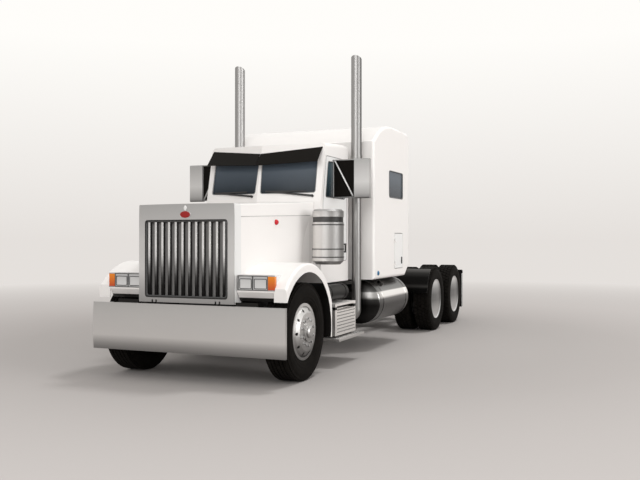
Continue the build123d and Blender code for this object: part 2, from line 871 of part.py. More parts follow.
outer_cab = cab_volume(0, 55)
inner_cab = cab_volume(cab_wall, 20)
slope_aft = 0.19 * (door_top - belt_z)
door_outline = [
    (aft(door_front_aft), door_bottom), (aft(door_front_aft), belt_z),
    (aft(door_front_aft + slope_aft), door_top), (aft(door_rear_aft), door_top),
    (aft(door_rear_aft), door_bottom),
]
window_outline = [
    (aft(door_front_aft + pillar_width), belt_z + window_margin),
    (aft(door_front_aft + pillar_width + slope_aft * 0.8), door_top - window_margin),
    (aft(door_rear_aft - window_margin), door_top - window_margin),
    (aft(door_rear_aft - window_margin), belt_z + window_margin),
]


def flat_outline(points, y, depth, grow=0, corner=0):
    """Rounded outline of (x, z) points, drawn inwards from a Y plane."""
    with BuildPart() as made:
        with BuildSketch(side_plane(y)) as face:
            with BuildLine():
                Polyline(*points, close=True)
            make_face()
            if grow:
                offset(amount=grow, kind=Kind.INTERSECTION)
            if corner:
                fillet(face.vertices(), corner)
        extrude(amount=depth)
    return made.part


door_hole = flat_outline(door_outline, half_cab + 1, cab_wall + 2, door_gap, 40)
passage = box((aft(cab_rear_aft) - 1, aft(cab_rear_aft) + cab_wall + 1),
              (boot_wall - boot_half_width, boot_half_width - boot_wall),
              (boot_bottom + boot_wall, boot_top - boot_wall))
glass_low = 105
glass_high = 590
screen_outline = [(42, glass_low), (42, glass_high), (756, glass_high - 40), (744, glass_low + 10)]
screen_in = screen_plane(0, screen_rake)
with BuildPart() as screen_hole:
    with BuildSketch(screen_in.offset(5)) as hole_face:
        with BuildLine():
            Polyline(*screen_outline, close=True)
        make_face()
        fillet(hole_face.vertices(), 30)
    extrude(amount=-(cab_wall + 60))
with BuildPart() as screen_glass:
    with BuildSketch(screen_in.offset(-12)) as pane_face:
        with BuildLine():
            Polyline(*screen_outline, close=True)
        make_face()
        fillet(pane_face.vertices(), 30)
    extrude(amount=-glass_thickness)
hinge_axis_x = aft(door_front_aft) + door_gap / 2
door_fixed, door_moving = hinge_parts(hinge_axis_x, half_cab, 40, (1380, 1840))
cowl_inset = hood_wall + cowl_gap
cowl_x = (aft(screen_base_aft + 250), aft(screen_base_aft - cowl_reach))
cowl = hood_volume(cowl_inset, hood_skirt + 20) - hood_volume(cowl_inset + hood_wall, hood_skirt + 19)
cowl = cowl & box(cowl_x, (-half_cab, half_cab), (hood_skirt, hood_rear_top))
cab = joined(outer_cab, cowl) - inner_cab - passage
for piece in both_sides(door_hole) + both_sides(screen_hole.part):
    cab = cab - piece
cab = joined(cab, *both_sides(door_fixed))
save(cab, "cab_shell")

window_cut = flat_outline(window_outline, half_cab + 1, cab_wall + 2, 0, 35)
door = flat_outline(door_outline, half_cab, cab_wall, 0, 34) - window_cut
handle_x = (aft(door_rear_aft - handle_inset), aft(door_rear_aft - handle_inset - handle_width))
handle_z = (handle_low, handle_low + handle_length)
handle = box(handle_x, (half_cab, half_cab + handle_reach), handle_z)
grip_x = (handle_x[0] - 1, handle_x[1] + 1)
grip_z = (handle_z[0] + handle_foot, handle_z[1] - handle_foot)
handle = handle - box(grip_x, (half_cab - 1, half_cab + handle_reach - handle_grip), grip_z)
door = joined(door, door_moving, handle)
door_glass = flat_outline(window_outline, half_cab - 15, glass_thickness, 0, 35)
mirror_x = aft(mirror_aft)
mirror_inner = mirror_outer - mirror_width
arms = [
    rod((mirror_x, half_cab, z), (mirror_x, mirror_inner + 20, z), mirror_arm_radius)
    for z in (mirror_low + 4, mirror_high + 12)
]
arms += [
    rod((mirror_x, half_cab + 30, mirror_high + 4), (mirror_x, mirror_inner - 20, mirror_low + 16),
        mirror_strut_radius),
    box((mirror_x - 18, mirror_x - 4), (half_cab + 5, mirror_inner), (mirror_low + 4, mirror_high + 12)),
    flat_outline([(mirror_x - 45, mirror_low - 12), (mirror_x - 45, mirror_high + 22),
                  (mirror_x + 18, mirror_high + 22),
                  (mirror_x + 18, mirror_low - 12)], mirror_outer, mirror_outer - mirror_inner, 0, 16),
]
mirror_body = joined(*arms)
for side, pieces in (("left", (door, door_glass, mirror_body)),
                     ("right", [p.mirror(Plane.XZ) for p in (door, door_glass, mirror_body)])):
    for piece, name in zip(pieces, ("door", "door_glass", "mirror")):
        save(piece, f"{name}_{side}")

# Sun visor over the windscreen, its brackets and the wipers
visor_points = [(985, 0, 2434), (1125, 0, 2590), (1129, 775, 2472)]
lower_mid, upper_mid, lower_end = [Vector(aft(a), y, z) for a, y, z in visor_points]
visor_up = upper_mid - lower_mid
visor_out = lower_end - lower_mid
visor_plane = Plane(origin=lower_mid, x_dir=visor_out, z_dir=visor_out.cross(visor_up))
upper_end = lower_end + visor_up * visor_flare
with BuildPart() as visor:
    with BuildSketch(visor_plane):
        with BuildLine():
            corners = [lower_mid, lower_end, upper_end, upper_mid]
            Polyline(*[visor_plane.to_local_coords(c) for c in corners], close=True)
        make_face()
    extrude(amount=5)
    split(bisect_by=Plane.XZ.offset(-3), keep=Keep.BOTTOM)
visor_rods = []
for share in (0.12, 0.85):
    at = upper_mid + visor_out * share - visor_up.normalized() * 24 + visor_plane.z_dir * 2.5
    visor_rods.append(rod(tuple(at), (at.X - 110, at.Y, at.Z + 8), 9))
visor_side = joined(visor.part, *visor_rods) - outer_cab
save(joined(*both_sides(visor_side)), "sun_visor")

wiper_rise = 70
blade_start = 80
wipers = []
# side of the pane, pivot's place out from the middle, direction of the blade
for way, pivot, reach in ((1, 712, -1), (-1, 82, 1)):
    tip = pivot + reach * wiper_length
    with BuildPart() as wiper:
        with BuildSketch(screen_in.offset(14)):
            with Locations((pivot + reach * (blade_start + wiper_length) / 2, glass_low + 22)):
                Rectangle(wiper_length - blade_start, 16)
            with BuildLine():
                Polyline((tip, glass_low + 18), (pivot, wiper_rise - 12), (pivot, wiper_rise + 12),
                         (tip, glass_low + 34),
                         close=True)
            make_face()
        extrude(amount=10)
        with BuildSketch(screen_in):
            with Locations((pivot, wiper_rise)):
                Circle(16)
        extrude(amount=24)
    fitted = wiper.part - outer_cab
    wipers.append(fitted if way > 0 else fitted.mirror(Plane.XZ))
save(joined(*wipers), "wipers")

# Dash, wheel and seats
dash_profile = [
    (aft(dash_front_aft), 1560), (aft(dash_rear_aft), 1640), (aft(dash_rear_aft), 1880),
    (aft(dash_rear_aft - 150), 1960), (aft(dash_front_aft), 1960),
]
dash = prism(dash_profile, -740, 740) & inner_cab
save(dash, "dashboard")
wheel_plane = Plane(origin=(aft(steering_wheel_aft), driver_y, steering_wheel_z), x_dir=(0, 1, 0),
                    z_dir=(-cos(radians(column_tilt)), 0, sin(radians(column_tilt))))
with BuildPart() as steering_wheel:
    with BuildSketch(Plane(origin=wheel_plane.origin + wheel_plane.x_dir * steering_wheel_radius,
                           x_dir=wheel_plane.x_dir,
                           z_dir=wheel_plane.y_dir)):
        Circle(steering_rim_radius)
    revolve(axis=Axis(wheel_plane.origin, wheel_plane.z_dir))
    with BuildSketch(wheel_plane.offset(-10)):
        Circle(50)
        Rectangle(2 * steering_wheel_radius - 10, 34)
        with Locations((0, steering_wheel_radius / 2 - 4)):
            Rectangle(34, steering_wheel_radius - 6)
    extrude(amount=16)
    with BuildSketch(wheel_plane.offset(-9)):
        Circle(30)
    extrude(amount=-column_length)
save(steering_wheel.part - dash, "steering_wheel")
floor_z = cab_bottom + cab_wall
cushion_top = seat_top + seat_thickness
back_foot = (aft(seat_rear_aft), aft(seat_rear_aft - seat_back_depth))
back_head = (aft(seat_rear_aft + 30), aft(seat_rear_aft - seat_back_depth + 70))
pedestals = []
cushions = []
for y in (driver_y, -driver_y):
    pedestals.append(box((aft(seat_rear_aft - 10), aft(seat_front_aft + 60)),
                         (y - seat_half_width + 60, y + seat_half_width - 60), (floor_z, seat_top)))
    cushions.append(box((back_foot[0], aft(seat_front_aft)), (y - seat_half_width, y + seat_half_width),
                        (seat_top + seat_gap, cushion_top)))
    back = [(back_foot[0], cushion_top + seat_gap), (back_foot[1], cushion_top + seat_gap),
            (back_head[1], cushion_top + seat_back_height), (back_head[0], cushion_top + seat_back_height)]
    cushions.append(prism(back, y - seat_half_width + 10, y + seat_half_width - 10))
save(joined(*pedestals), "seat_bases")
save(joined(*cushions), "seats")

# Sleeper
with BuildSketch(Plane.XZ) as sleeper_profile:
    with BuildLine():
        front = aft(sleeper_front_aft)
        rear = aft(sleeper_rear_aft)
        Line((front, cab_bottom), (front, sleeper_brow))
        brow = ThreePointArc((front, sleeper_brow), (front - 330, sleeper_top - 88),
                             (front - 740, sleeper_top))
        Line((front - 740, sleeper_top), (rear + 160, sleeper_top))
        ThreePointArc((rear + 160, sleeper_top), (rear + 48, sleeper_top - 32), (rear, sleeper_top - 110))
        Polyline((rear, sleeper_top - 110), (rear, cab_bottom + 145), (rear + 200, cab_bottom),
                 (front, cab_bottom))
    make_face()


def sleeper_volume(inset, corner):
    with BuildPart() as volume:
        with BuildSketch(side_plane(sleeper_half_width - inset)):
            add(sleeper_profile.sketch_local)
            if inset:
                offset(amount=-inset, kind=Kind.INTERSECTION)
        extrude(amount=2 * (sleeper_half_width - inset))
        if corner:
            fillet(volume.edges().group_by(Axis.Y)[-1] + volume.edges().group_by(Axis.Y)[0], corner)
    return volume.part


sleeper_outer = sleeper_volume(0, 38)
sleeper_inner = sleeper_volume(cab_wall, 0)
hatch_outline = [
    (aft(hatch_front_aft), hatch_bottom), (aft(hatch_front_aft), hatch_top),
    (aft(hatch_rear_aft), hatch_top), (aft(hatch_rear_aft), hatch_bottom),
]
hatch_hole = flat_outline(hatch_outline, sleeper_half_width + 1, cab_wall + 2, door_gap, 30)
side_window = [
    (aft(pane_front_aft), pane_bottom), (aft(pane_front_aft), pane_top), (aft(pane_rear_aft), pane_top),
    (aft(pane_rear_aft), pane_bottom),
]
window_hole = flat_outline(side_window, sleeper_half_width + 1, cab_wall + 2, 0, 40)
sleeper_pane = flat_outline(side_window, sleeper_half_width - 10, glass_thickness, 0, 40)
hatch_axis_x = aft(hatch_front_aft) + door_gap / 2
hatch_fixed, hatch_moving = hinge_parts(hatch_axis_x, sleeper_half_width, 36, (1170, 1500))
front_passage = box((aft(sleeper_front_aft) - cab_wall - 1, aft(sleeper_front_aft) + 1),
                    (boot_wall - boot_half_width, boot_half_width - boot_wall),
                    (boot_bottom + boot_wall, boot_top - boot_wall))
bunk_x = (aft(sleeper_rear_aft) + cab_wall, aft(sleeper_rear_aft) + cab_wall + bunk_depth)
bunk_top = bunk_low + bunk_board
bunk_half = sleeper_half_width - cab_wall
sleeper = sleeper_outer - sleeper_inner - front_passage
sleeper = joined(sleeper, box(bunk_x, (-bunk_half, bunk_half), (bunk_low, bunk_top)))
for piece in both_sides(hatch_hole) + both_sides(window_hole):
    sleeper = sleeper - piece
sleeper = joined(sleeper, *both_sides(hatch_fixed))
save(sleeper, "sleeper_shell")
save(joined(*both_sides(sleeper_pane), *both_sides(screen_glass.part)), "fixed_glass")
latch_x = (aft(hatch_rear_aft - latch_inset), aft(hatch_rear_aft - latch_inset - latch_width))
latch = box(latch_x, (sleeper_half_width, sleeper_half_width + 10), (latch_low, latch_high))
hatch = joined(flat_outline(hatch_outline, sleeper_half_width, cab_wall, 0, 26), hatch_moving, latch)
for side, piece in zip(("left", "right"), both_sides(hatch)):
    save(piece, f"locker_door_{side}")
boot = box((aft(sleeper_front_aft), aft(cab_rear_aft)), (-boot_half_width, boot_half_width),
           (boot_bottom, boot_top))
boot_hollow = box((aft(sleeper_front_aft) - 1, aft(cab_rear_aft) + 1),
                  (boot_wall - boot_half_width, boot_half_width - boot_wall),
                  (boot_bottom + boot_wall, boot_top - boot_wall))
save(boot - boot_hollow, "sleeper_boot")
mattress_z = (bunk_top + 0.5, bunk_top + mattress_thickness)
save(box((bunk_x[0] + 5, bunk_x[1] - 10), (10 - bunk_half, bunk_half - 10), mattress_z), "bunk_mattress")

# Fuel tanks
rim_back = tank_dome + 12
tank_ends = (aft(tank_rear_aft), aft(tank_front_aft))
with BuildPart() as tank:
    with BuildSketch(Plane.XZ):
        with BuildLine():
            Line((tank_ends[0], 0), (tank_ends[0], tank_crown_radius))
            ThreePointArc((tank_ends[0], tank_crown_radius), (tank_ends[0] + tank_dome * 0.3, 190),
                          (tank_ends[0] + tank_dome, tank_radius - 10))
            Line((tank_ends[0] + tank_dome, tank_radius - 10), (tank_ends[0] + rim_back, tank_radius))
            Line((tank_ends[0] + rim_back, tank_radius), (tank_ends[1] - rim_back, tank_radius))
            Line((tank_ends[1] - rim_back, tank_radius), (tank_ends[1] - tank_dome, tank_radius - 10))
            ThreePointArc((tank_ends[1] - tank_dome, tank_radius - 10),
                          (tank_ends[1] - tank_dome * 0.3, 190),
                          (tank_ends[1], tank_crown_radius))
            Line((tank_ends[1], tank_crown_radius), (tank_ends[1], 0))
            Line((tank_ends[1], 0), (tank_ends[0], 0))
        make_face()
    revolve(axis=Axis.X)
tank_solid = Pos(0, tank_y, tank_z) * tank.part
brackets = []
for station in strap_afts:
    x = aft(station)
    bracket = box((x - 30, x + 30), (rail_y, tank_y), (frame_bottom - 330, frame_top - 40))
    bracket = bracket - rod((x - 40, tank_y, tank_z), (x + 40, tank_y, tank_z), tank_radius - 1)
    bracket = bracket & box((x - 31, x + 31), (rail_y, 560), (300, 1000))
    ring = rod((x - strap_half_width, tank_y, tank_z), (x + strap_half_width, tank_y, tank_z),
               tank_radius + 4, tank_radius - 2)
    brackets += [bracket, ring]
filler_x = aft(filler_aft)
filler = rod((filler_x, tank_y + 170, tank_z + 227), (filler_x, tank_y + 200, tank_z + 267), filler_radius)
tank_side = joined(tank_solid, *brackets, filler)
save(joined(*both_sides(tank_side)), "fuel_tanks")

# Steps
step_x = (aft(step_rear_aft), aft(step_front_aft))
steps = joined(
    box(step_x, (step_inner_y, step_outer_y), (step_bottom, step_top)),
    box((step_x[0] - 120, step_x[1] + 60), (step_inner_y, plate_outer_y),
        (plate_low, plate_low + plate_depth)),
    box((step_x[0] + 60, step_x[0] + 120), (rail_y, 700), (690, 760)),
    box((step_x[1] - 120, step_x[1] - 60), (rail_y, 700), (690, 760)),
    box((step_x[0] + 200, step_x[1] - 200), (700, 720), (320, 380)),
)
toe_slot = box((step_x[0] + 60, step_x[1] - 60), (step_outer_y - 90, step_outer_y + 1), (662, 718))
step_side = steps - toe_slot
save(joined(*both_sides(step_side)), "step_boxes")

# Air tanks lie over the step boxes, each on two brackets from the rail
reservoir_z = step_top + reservoir_rise
reservoir = rod((step_x[0] + 20, reservoir_y, reservoir_z), (step_x[1] - 20, reservoir_y, reservoir_z),
                reservoir_radius)
reservoir = reservoir.fillet(30, reservoir.edges())
reservoir_arms = []
for x in (step_x[0] + 120, step_x[1] - 120):
    reservoir_arms.append(box((x - 20, x + 20), (rail_y, reservoir_y),
                              (reservoir_z - 20, reservoir_z + 20)))
    reservoir_arms.append(rod((x - 20, reservoir_y, reservoir_z), (x + 20, reservoir_y, reservoir_z),
                              reservoir_radius + 4))
save(joined(*both_sides(joined(reservoir, *reservoir_arms))), "air_tanks")

# Exhaust
stack_x = aft(stack_aft)
with BuildPart() as exhaust:
    with BuildLine() as route:
        FilletPolyline((stack_x, stack_y, stack_clamp_z), (stack_x, stack_y, stack_foot),
                       (stack_x, -stack_y, stack_foot), (stack_x, -stack_y, stack_clamp_z),
                       radius=stack_bend)
    with BuildSketch(Plane(origin=(stack_x, stack_y, stack_clamp_z), z_dir=(0, 0, -1))):
        Circle(stack_lower_radius)
    sweep()
upper = []
for y in (stack_y, -stack_y):
    with BuildPart() as pipe:
        with BuildSketch(Plane(origin=(stack_x, y, stack_clamp_z))):
            Circle(stack_upper_radius)
        extrude(amount=stack_top - stack_clamp_z)
        with BuildSketch(Plane(origin=(stack_x, y, stack_clamp_z + 30))):
            Circle(stack_upper_radius - stack_wall)
        extrude(amount=stack_top - stack_clamp_z, mode=Mode.SUBTRACT)
        with BuildSketch(Plane(origin=(stack_x, y, stack_clamp_z - 40))):
            Circle(stack_upper_radius + 5)
        extrude(amount=80)
        split(bisect_by=Plane(origin=(stack_x + stack_upper_radius, y, stack_top), z_dir=(-0.55, 0, 1)),
              keep=Keep.BOTTOM)
    upper.append(pipe.part)
    reach = box((aft(cab_rear_aft + 70), aft(cab_rear_aft)), sorted((y * 0.82, y * 0.96)), (2200, 2240))
    upper.append(reach)
hanger = box((stack_x - 25, stack_x + 25), (rail_y, stack_y), (frame_top - 45, frame_top - 5))
upper += both_sides(hanger)
with BuildPart() as down_pipe:
    with BuildLine():
        FilletPolyline((stack_x, down_pipe_y, stack_foot), (aft(1500), down_pipe_y, stack_foot),
                       (aft(900), down_pipe_y, 700), radius=down_pipe_bend)
    with BuildSketch(Plane(origin=(stack_x, down_pipe_y, stack_foot), z_dir=(1, 0, 0))):
        Circle(down_pipe_radius)
    sweep()
save(joined(exhaust.part, *upper, down_pipe.part) - engine, "exhaust_stacks")

# Air cleaners
filter_x = aft(filter_aft)
with BuildPart() as cleaner:
    with BuildSketch(Plane.XZ):
        with BuildLine():
            Polyline((0, filter_bottom), (filter_radius - 40, filter_bottom),
                     (filter_radius, filter_bottom + 40), (filter_radius, filter_groove_low),
                     (filter_radius - 6, filter_groove_low + 4),
                     (filter_radius - 6, filter_groove_high - 4), (filter_radius, filter_groove_high),
                     (filter_radius, filter_top - 22), (filter_radius - 26, filter_top),
                     (0, filter_top),
                     close=True)
        make_face()
    revolve(axis=Axis.Z)
cleaner_body = Pos(filter_x, filter_y, 0) * cleaner.part
for z in filter_straps_z:
    ring = rod((filter_x, filter_y, z - 9), (filter_x, filter_y, z + 9), filter_radius + 4)
    cleaner_body = joined(cleaner_body, ring)
arm_x = aft(screen_base_aft + 140)
for z in filter_arms_z:
    arm = box((arm_x - 40, filter_x), (half_cab, filter_y), (z - 15, z + 15))
    cleaner_body = joined(cleaner_body, arm)
save(joined(*both_sides(cleaner_body)), "air_cleaners")

# Quarter guards
guard_x = drive_xs[0]
stay_x = guard_x + guard_radius * cos(radians(45))
stay_z = axle_z + guard_radius * sin(radians(45))
with BuildPart() as guard:
    with BuildSketch(side_plane(guard_outer_y)):
        with BuildLine():
            inner_arc = CenterArc((guard_x, axle_z), guard_radius, guard_start, guard_sweep)
            outer_arc = CenterArc((guard_x, axle_z), guard_radius + guard_sheet, guard_start, guard_sweep)
            Line(inner_arc @ 0, outer_arc @ 0)
            Line(inner_arc @ 1, outer_arc @ 1)
        make_face()
    extrude(amount=guard_outer_y - guard_inner_y)
    with BuildSketch(side_plane(guard_stay_end_y)):
        with Locations((stay_x + 10, stay_z + 10)):
            Circle(16)
    extrude(amount=guard_stay_end_y - guard_inner_y)
guard_stay = rod((stay_x + 12, rail_y, stay_z - 60), (stay_x + 12, guard_stay_end_y, stay_z + 12), 15)
save(joined(*both_sides(joined(guard.part, guard_stay) - rails)), "quarter_guards")

# Fifth wheel
couple_x = drive_xs[0] - coupling_behind_axle
cheek_y = (300, 340)
cheek = [
    (couple_x - 300, frame_top), (couple_x + 300, frame_top), (couple_x + 300, frame_top + 18),
    (couple_x + 70, trunnion_z + 5), (couple_x + 24, trunnion_z + 26), (couple_x - 24, trunnion_z + 26),
    (couple_x - 70, trunnion_z + 5), (couple_x - 300, frame_top + 18),
]
mount_plate = box((couple_x - 320, couple_x + 320), (280, rail_y), (frame_top, frame_top + 16))
bearing = joined(prism(cheek, *cheek_y), mount_plate)
bearing = bearing - rod((couple_x, 290, trunnion_z), (couple_x, 350, trunnion_z),
                        trunnion_radius + pin_clearance)
bearing = joined(bearing, rod((couple_x, 240, trunnion_z), (couple_x, 404, trunnion_z), trunnion_radius))
save(joined(*both_sides(bearing)), "coupling_base")
with BuildPart() as coupling:
    with BuildSketch(Plane.XY.offset(coupling_top - plate_thickness)) as plate_face:
        with Locations((couple_x, 0)):
            Circle(coupling_radius)
        with Locations((couple_x - 260, 0)):
            Rectangle(420, 860)
        with BuildLine():
            Polyline((couple_x - 20, 50), (couple_x - 480, 190), (couple_x - 480, -190),
                     (couple_x - 20, -50), close=True)
        make_face(mode=Mode.SUBTRACT)
        with Locations((couple_x, 0)):
            Circle(jaw_radius)
    extrude(amount=plate_thickness)
    with BuildSketch(Plane.XY.offset(trunnion_z - 40)):
        for y in (262, 388):
            for way in (1, -1):
                with Locations((couple_x, way * y)):
                    Rectangle(110, 26)
    extrude(amount=coupling_top - plate_thickness - trunnion_z + 41)
    with BuildSketch(Plane.XY.offset(coupling_top - plate_thickness - 1)):
        with Locations((couple_x, 0)):
            Circle(kingpin_bore_radius)
    extrude(amount=plate_thickness + 2, mode=Mode.SUBTRACT)
    with BuildSketch(side_plane(500)):
        with Locations((couple_x, trunnion_z)):
            Circle(trunnion_radius + pin_clearance)
    extrude(amount=1000, mode=Mode.SUBTRACT)
save(coupling.part, "coupling_plate")

# Bonnet
shell_rear_x = front_axle_x + shell_ahead - shell_depth
shell_front_x = front_axle_x + shell_ahead
hood_outer = hood_volume(0, hood_skirt)
hood_inner = hood_volume(hood_wall, hood_skirt - 1)
vee_x = aft(screen_base_aft) + hood_gap
vee_y = 900
with BuildPart() as vee:
    with BuildSketch(Plane.XY.offset(hood_skirt - 50)):
        with BuildLine():
            Polyline((vee_x, 0), (vee_x - screen_sweep * vee_y, vee_y), (vee_x - 900, vee_y),
                     (vee_x - 900, -vee_y),
                     (vee_x - screen_sweep * vee_y, -vee_y), close=True)
        make_face()
    extrude(amount=1200)
hood_edge_upper = [(aft(1063), 1799), (aft(912), 1583), (aft(844), 1360)]
hood_edge_lower = [hood_edge_upper[-1], (aft(857), 1240), (aft(900), hood_skirt - 1)]
edge_rear_x = aft(1300)
with BuildPart() as rear_sweep:
    with BuildSketch(side_plane(hood_rear_half_width + 10)):
        with BuildLine():
            ThreePointArc(*hood_edge_upper)
            ThreePointArc(*hood_edge_lower)
            Polyline(hood_edge_lower[-1], (edge_rear_x, hood_skirt - 1),
                     (edge_rear_x, hood_edge_upper[0][1]), hood_edge_upper[0])
        make_face()
    extrude(amount=2 * (hood_rear_half_width + 10))
hood = hood_outer - hood_inner - vee.part - rear_sweep.part
save(hood, "hood_shell")

with BuildPart() as grille_shell:
    with BuildSketch(cross_plane(shell_rear_x)):
        add(hood_section(shell_half_width, shell_bottom, hood_front_seam, shell_top))
        make_face()
    extrude(amount=shell_depth)
    with BuildSketch(cross_plane(shell_rear_x)):
        add(hood_section(shell_half_width - shell_wall, shell_bottom - 1, hood_front_seam - 7,
                         shell_top - shell_wall))
        make_face()
    extrude(amount=shell_depth - shell_wall - 2, mode=Mode.SUBTRACT)
    with BuildSketch(cross_plane(shell_rear_x)) as grille_hole:
        with Locations((0, (grille_bottom + grille_top) / 2)):
            Rectangle(2 * grille_half_width, grille_top - grille_bottom)
        fillet(grille_hole.vertices(), 18)
    extrude(amount=shell_depth, mode=Mode.SUBTRACT)
lug_x = (hinge_x - 17, shell_front_x - shell_wall - 2)
shell = grille_shell.part
for y in (hinge_y, -hinge_y):
    for way in (1, -1):
        notch_y = sorted((y + way * fork_half, y + way * (fork_half + fork_plate + 6)))
        shell = shell - box((lug_x[1] - 1, shell_front_x + 1), notch_y, (shell_bottom - 1, hinge_z + 12))
    lug = box(lug_x, (y - fork_half, y + fork_half), (shell_bottom + 1, hinge_z + 24))
    shell = joined(shell, lug)
    shell = shell - rod((hinge_x, y - fork_half - 1, hinge_z), (hinge_x, y + fork_half + 1, hinge_z),
                        hinge_pin + pin_clearance)
save(shell, "grille_shell")

bar_pitch = 2 * grille_half_width / bar_count
with BuildPart() as bars:
    with BuildSketch(Plane.XY.offset(grille_bottom)) as bar_sections:
        for index in range(bar_count):
            with Locations((shell_front_x - 6 - bar_depth / 2,
                            (index + 0.5) * bar_pitch - grille_half_width)):
                Rectangle(bar_depth, bar_width)
        fillet(bar_sections.vertices(), bar_depth / 2 - 0.5)
    extrude(amount=grille_top - grille_bottom)
save(bars.part, "grille_bars")

# Front wings: an arch over the wheel with a deep outer lip and an upright nose panel
wing_radius = wing_crown - axle_z
nose_x = front_axle_x + wing_nose_ahead
wing_low = 876
tail_x = aft(665)
pod_x = (front_axle_x + lamp_ahead - 170, front_axle_x + lamp_ahead)


def wing_form(radius, nose, tail, y_from, y_to):
    """Disc about the axle, cut square at the nose and the tail."""
    disc = rod((front_axle_x, y_from, axle_z), (front_axle_x, y_to, axle_z), radius)
    ahead_part = disc & box((front_axle_x, nose), (y_from, y_to), (wing_low, 1500))
    rear_part = disc & box((tail, front_axle_x), (y_from, y_to), (wing_tail, 1500))
    return joined(ahead_part, rear_part)


wing = wing_form(wing_radius, nose_x, tail_x, wing_inner_y - wing_wall, wing_outer_y)
edge_arc = [e for e in wing.edges() if e.geom_type == GeomType.CIRCLE and e.center().Y > wing_outer_y - 1]
wing = wing.fillet(30, edge_arc)
wheel_space = wing_form(wing_radius - wing_wall, nose_x - wing_wall, tail_x + wing_wall, wing_inner_y,
                        wing_outer_y - wing_wall)
lower_space = box((tail_x + wing_wall, nose_x - wing_wall), (wing_inner_y, wing_outer_y - wing_wall),
                  (wing_tail - 1, axle_z))
arch = rod((front_axle_x, wing_inner_y - 50, axle_z), (front_axle_x, wing_outer_y + 10, axle_z),
           arch_radius)
pod_block = box(pod_x, (wing_inner_y - wing_wall, lamp_outer_y), (lamp_bottom, lamp_top))
wing = wing - wheel_space - lower_space - arch - pod_block - hood_outer
valance_y = (wing_inner_y - wing_wall, lamp_outer_y - 12)
valance_top_z = lamp_bottom - 14
slope_back = 70
wing = wing - prism([(nose_x + 1, valance_top_z), (nose_x + 1, wing_low - 1),
                     (nose_x - slope_back, wing_low - 1)], *valance_y)
slope = prism([(nose_x, valance_top_z), (nose_x - slope_back, wing_low),
               (nose_x - slope_back - wing_wall, wing_low),
               (nose_x - wing_wall, valance_top_z)], *valance_y)
wing = joined(wing, slope)
wing = wing - box((shell_rear_x, shell_front_x), (0, shell_half_width), (800, 1900)) - hood_outer
save(joined(*both_sides(wing)), "front_wings")

recess = 40
pod = pod_block - box((pod_x[1] - recess, pod_x[1] + 1), (wing_inner_y + 6, lamp_turn_y - 6),
                      (lamp_bottom + 10, lamp_top - 10))
pod = pod - box((pod_x[1] - recess, pod_x[1] + 1), (lamp_turn_y, lamp_outer_y + 1),
                (lamp_bottom + 10, lamp_top - 10))
pod = pod - hood_outer - grille_shell.part
save(joined(*both_sides(pod)), "lamp_pods")
lens_x = (pod_x[1] - recess, pod_x[1] - 8)
lenses = [
    box(lens_x, (wing_inner_y + 6, lamp_split_y - 4), (lamp_bottom + 10, lamp_top - 10)),
    box(lens_x, (lamp_split_y + 4, lamp_turn_y - 6), (lamp_bottom + 10, lamp_top - 10)),
]
save(joined(*both_sides(joined(*lenses))), "headlamps")
turn_lamp = box((pod_x[1] - recess, pod_x[1] - 2), (lamp_turn_y, lamp_outer_y - 2),
                (lamp_bottom + 10, lamp_top - 10))
save(joined(*both_sides(turn_lamp)), "turn_lamps")
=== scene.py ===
import bpy
import bmesh
from math import sin, cos, pi, hypot, exp
from mathutils import Vector, Matrix


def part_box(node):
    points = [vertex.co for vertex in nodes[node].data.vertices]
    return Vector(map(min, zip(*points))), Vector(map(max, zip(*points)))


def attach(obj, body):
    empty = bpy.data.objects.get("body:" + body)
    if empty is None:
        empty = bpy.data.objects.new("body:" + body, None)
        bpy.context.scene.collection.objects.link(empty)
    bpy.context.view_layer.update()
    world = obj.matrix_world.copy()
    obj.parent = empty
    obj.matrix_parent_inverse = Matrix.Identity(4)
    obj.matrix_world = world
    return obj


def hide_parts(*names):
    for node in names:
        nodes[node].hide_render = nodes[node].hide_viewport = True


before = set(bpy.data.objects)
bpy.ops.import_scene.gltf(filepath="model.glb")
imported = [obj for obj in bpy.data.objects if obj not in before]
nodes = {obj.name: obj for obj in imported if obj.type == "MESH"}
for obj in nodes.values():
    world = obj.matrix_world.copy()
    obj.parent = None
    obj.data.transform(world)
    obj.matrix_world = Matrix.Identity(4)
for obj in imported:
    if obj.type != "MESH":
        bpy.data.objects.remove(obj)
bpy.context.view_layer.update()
print("frame loaded", len(nodes))

tyreRadius = 0.527
sides = (("left", 1), ("right", -1))


def placed(name, data):
    thing = bpy.data.objects.new(name, data)
    bpy.context.scene.collection.objects.link(thing)
    return thing


# camera at the viewing angle, in metres
view = {"place": (11.044, 4.513, 1.51), "aim": (-0.9220, -0.3871, 0.0), "lens": 44.108, "sensor": 36,
        "far": 400}
camera = placed("camera", bpy.data.cameras.new("camera"))
camera.data.lens = view["lens"]
camera.data.sensor_width = view["sensor"]
camera.data.clip_end = view["far"]
camera.location = view["place"]
camera.rotation_euler = Vector(view["aim"]).to_track_quat("-Z", "Y").to_euler()
bpy.context.scene.camera = camera
bpy.context.scene.view_settings.view_transform = "Standard"


def operator(operation):
    return lambda self, other=None: self.maths(operation, self, other)


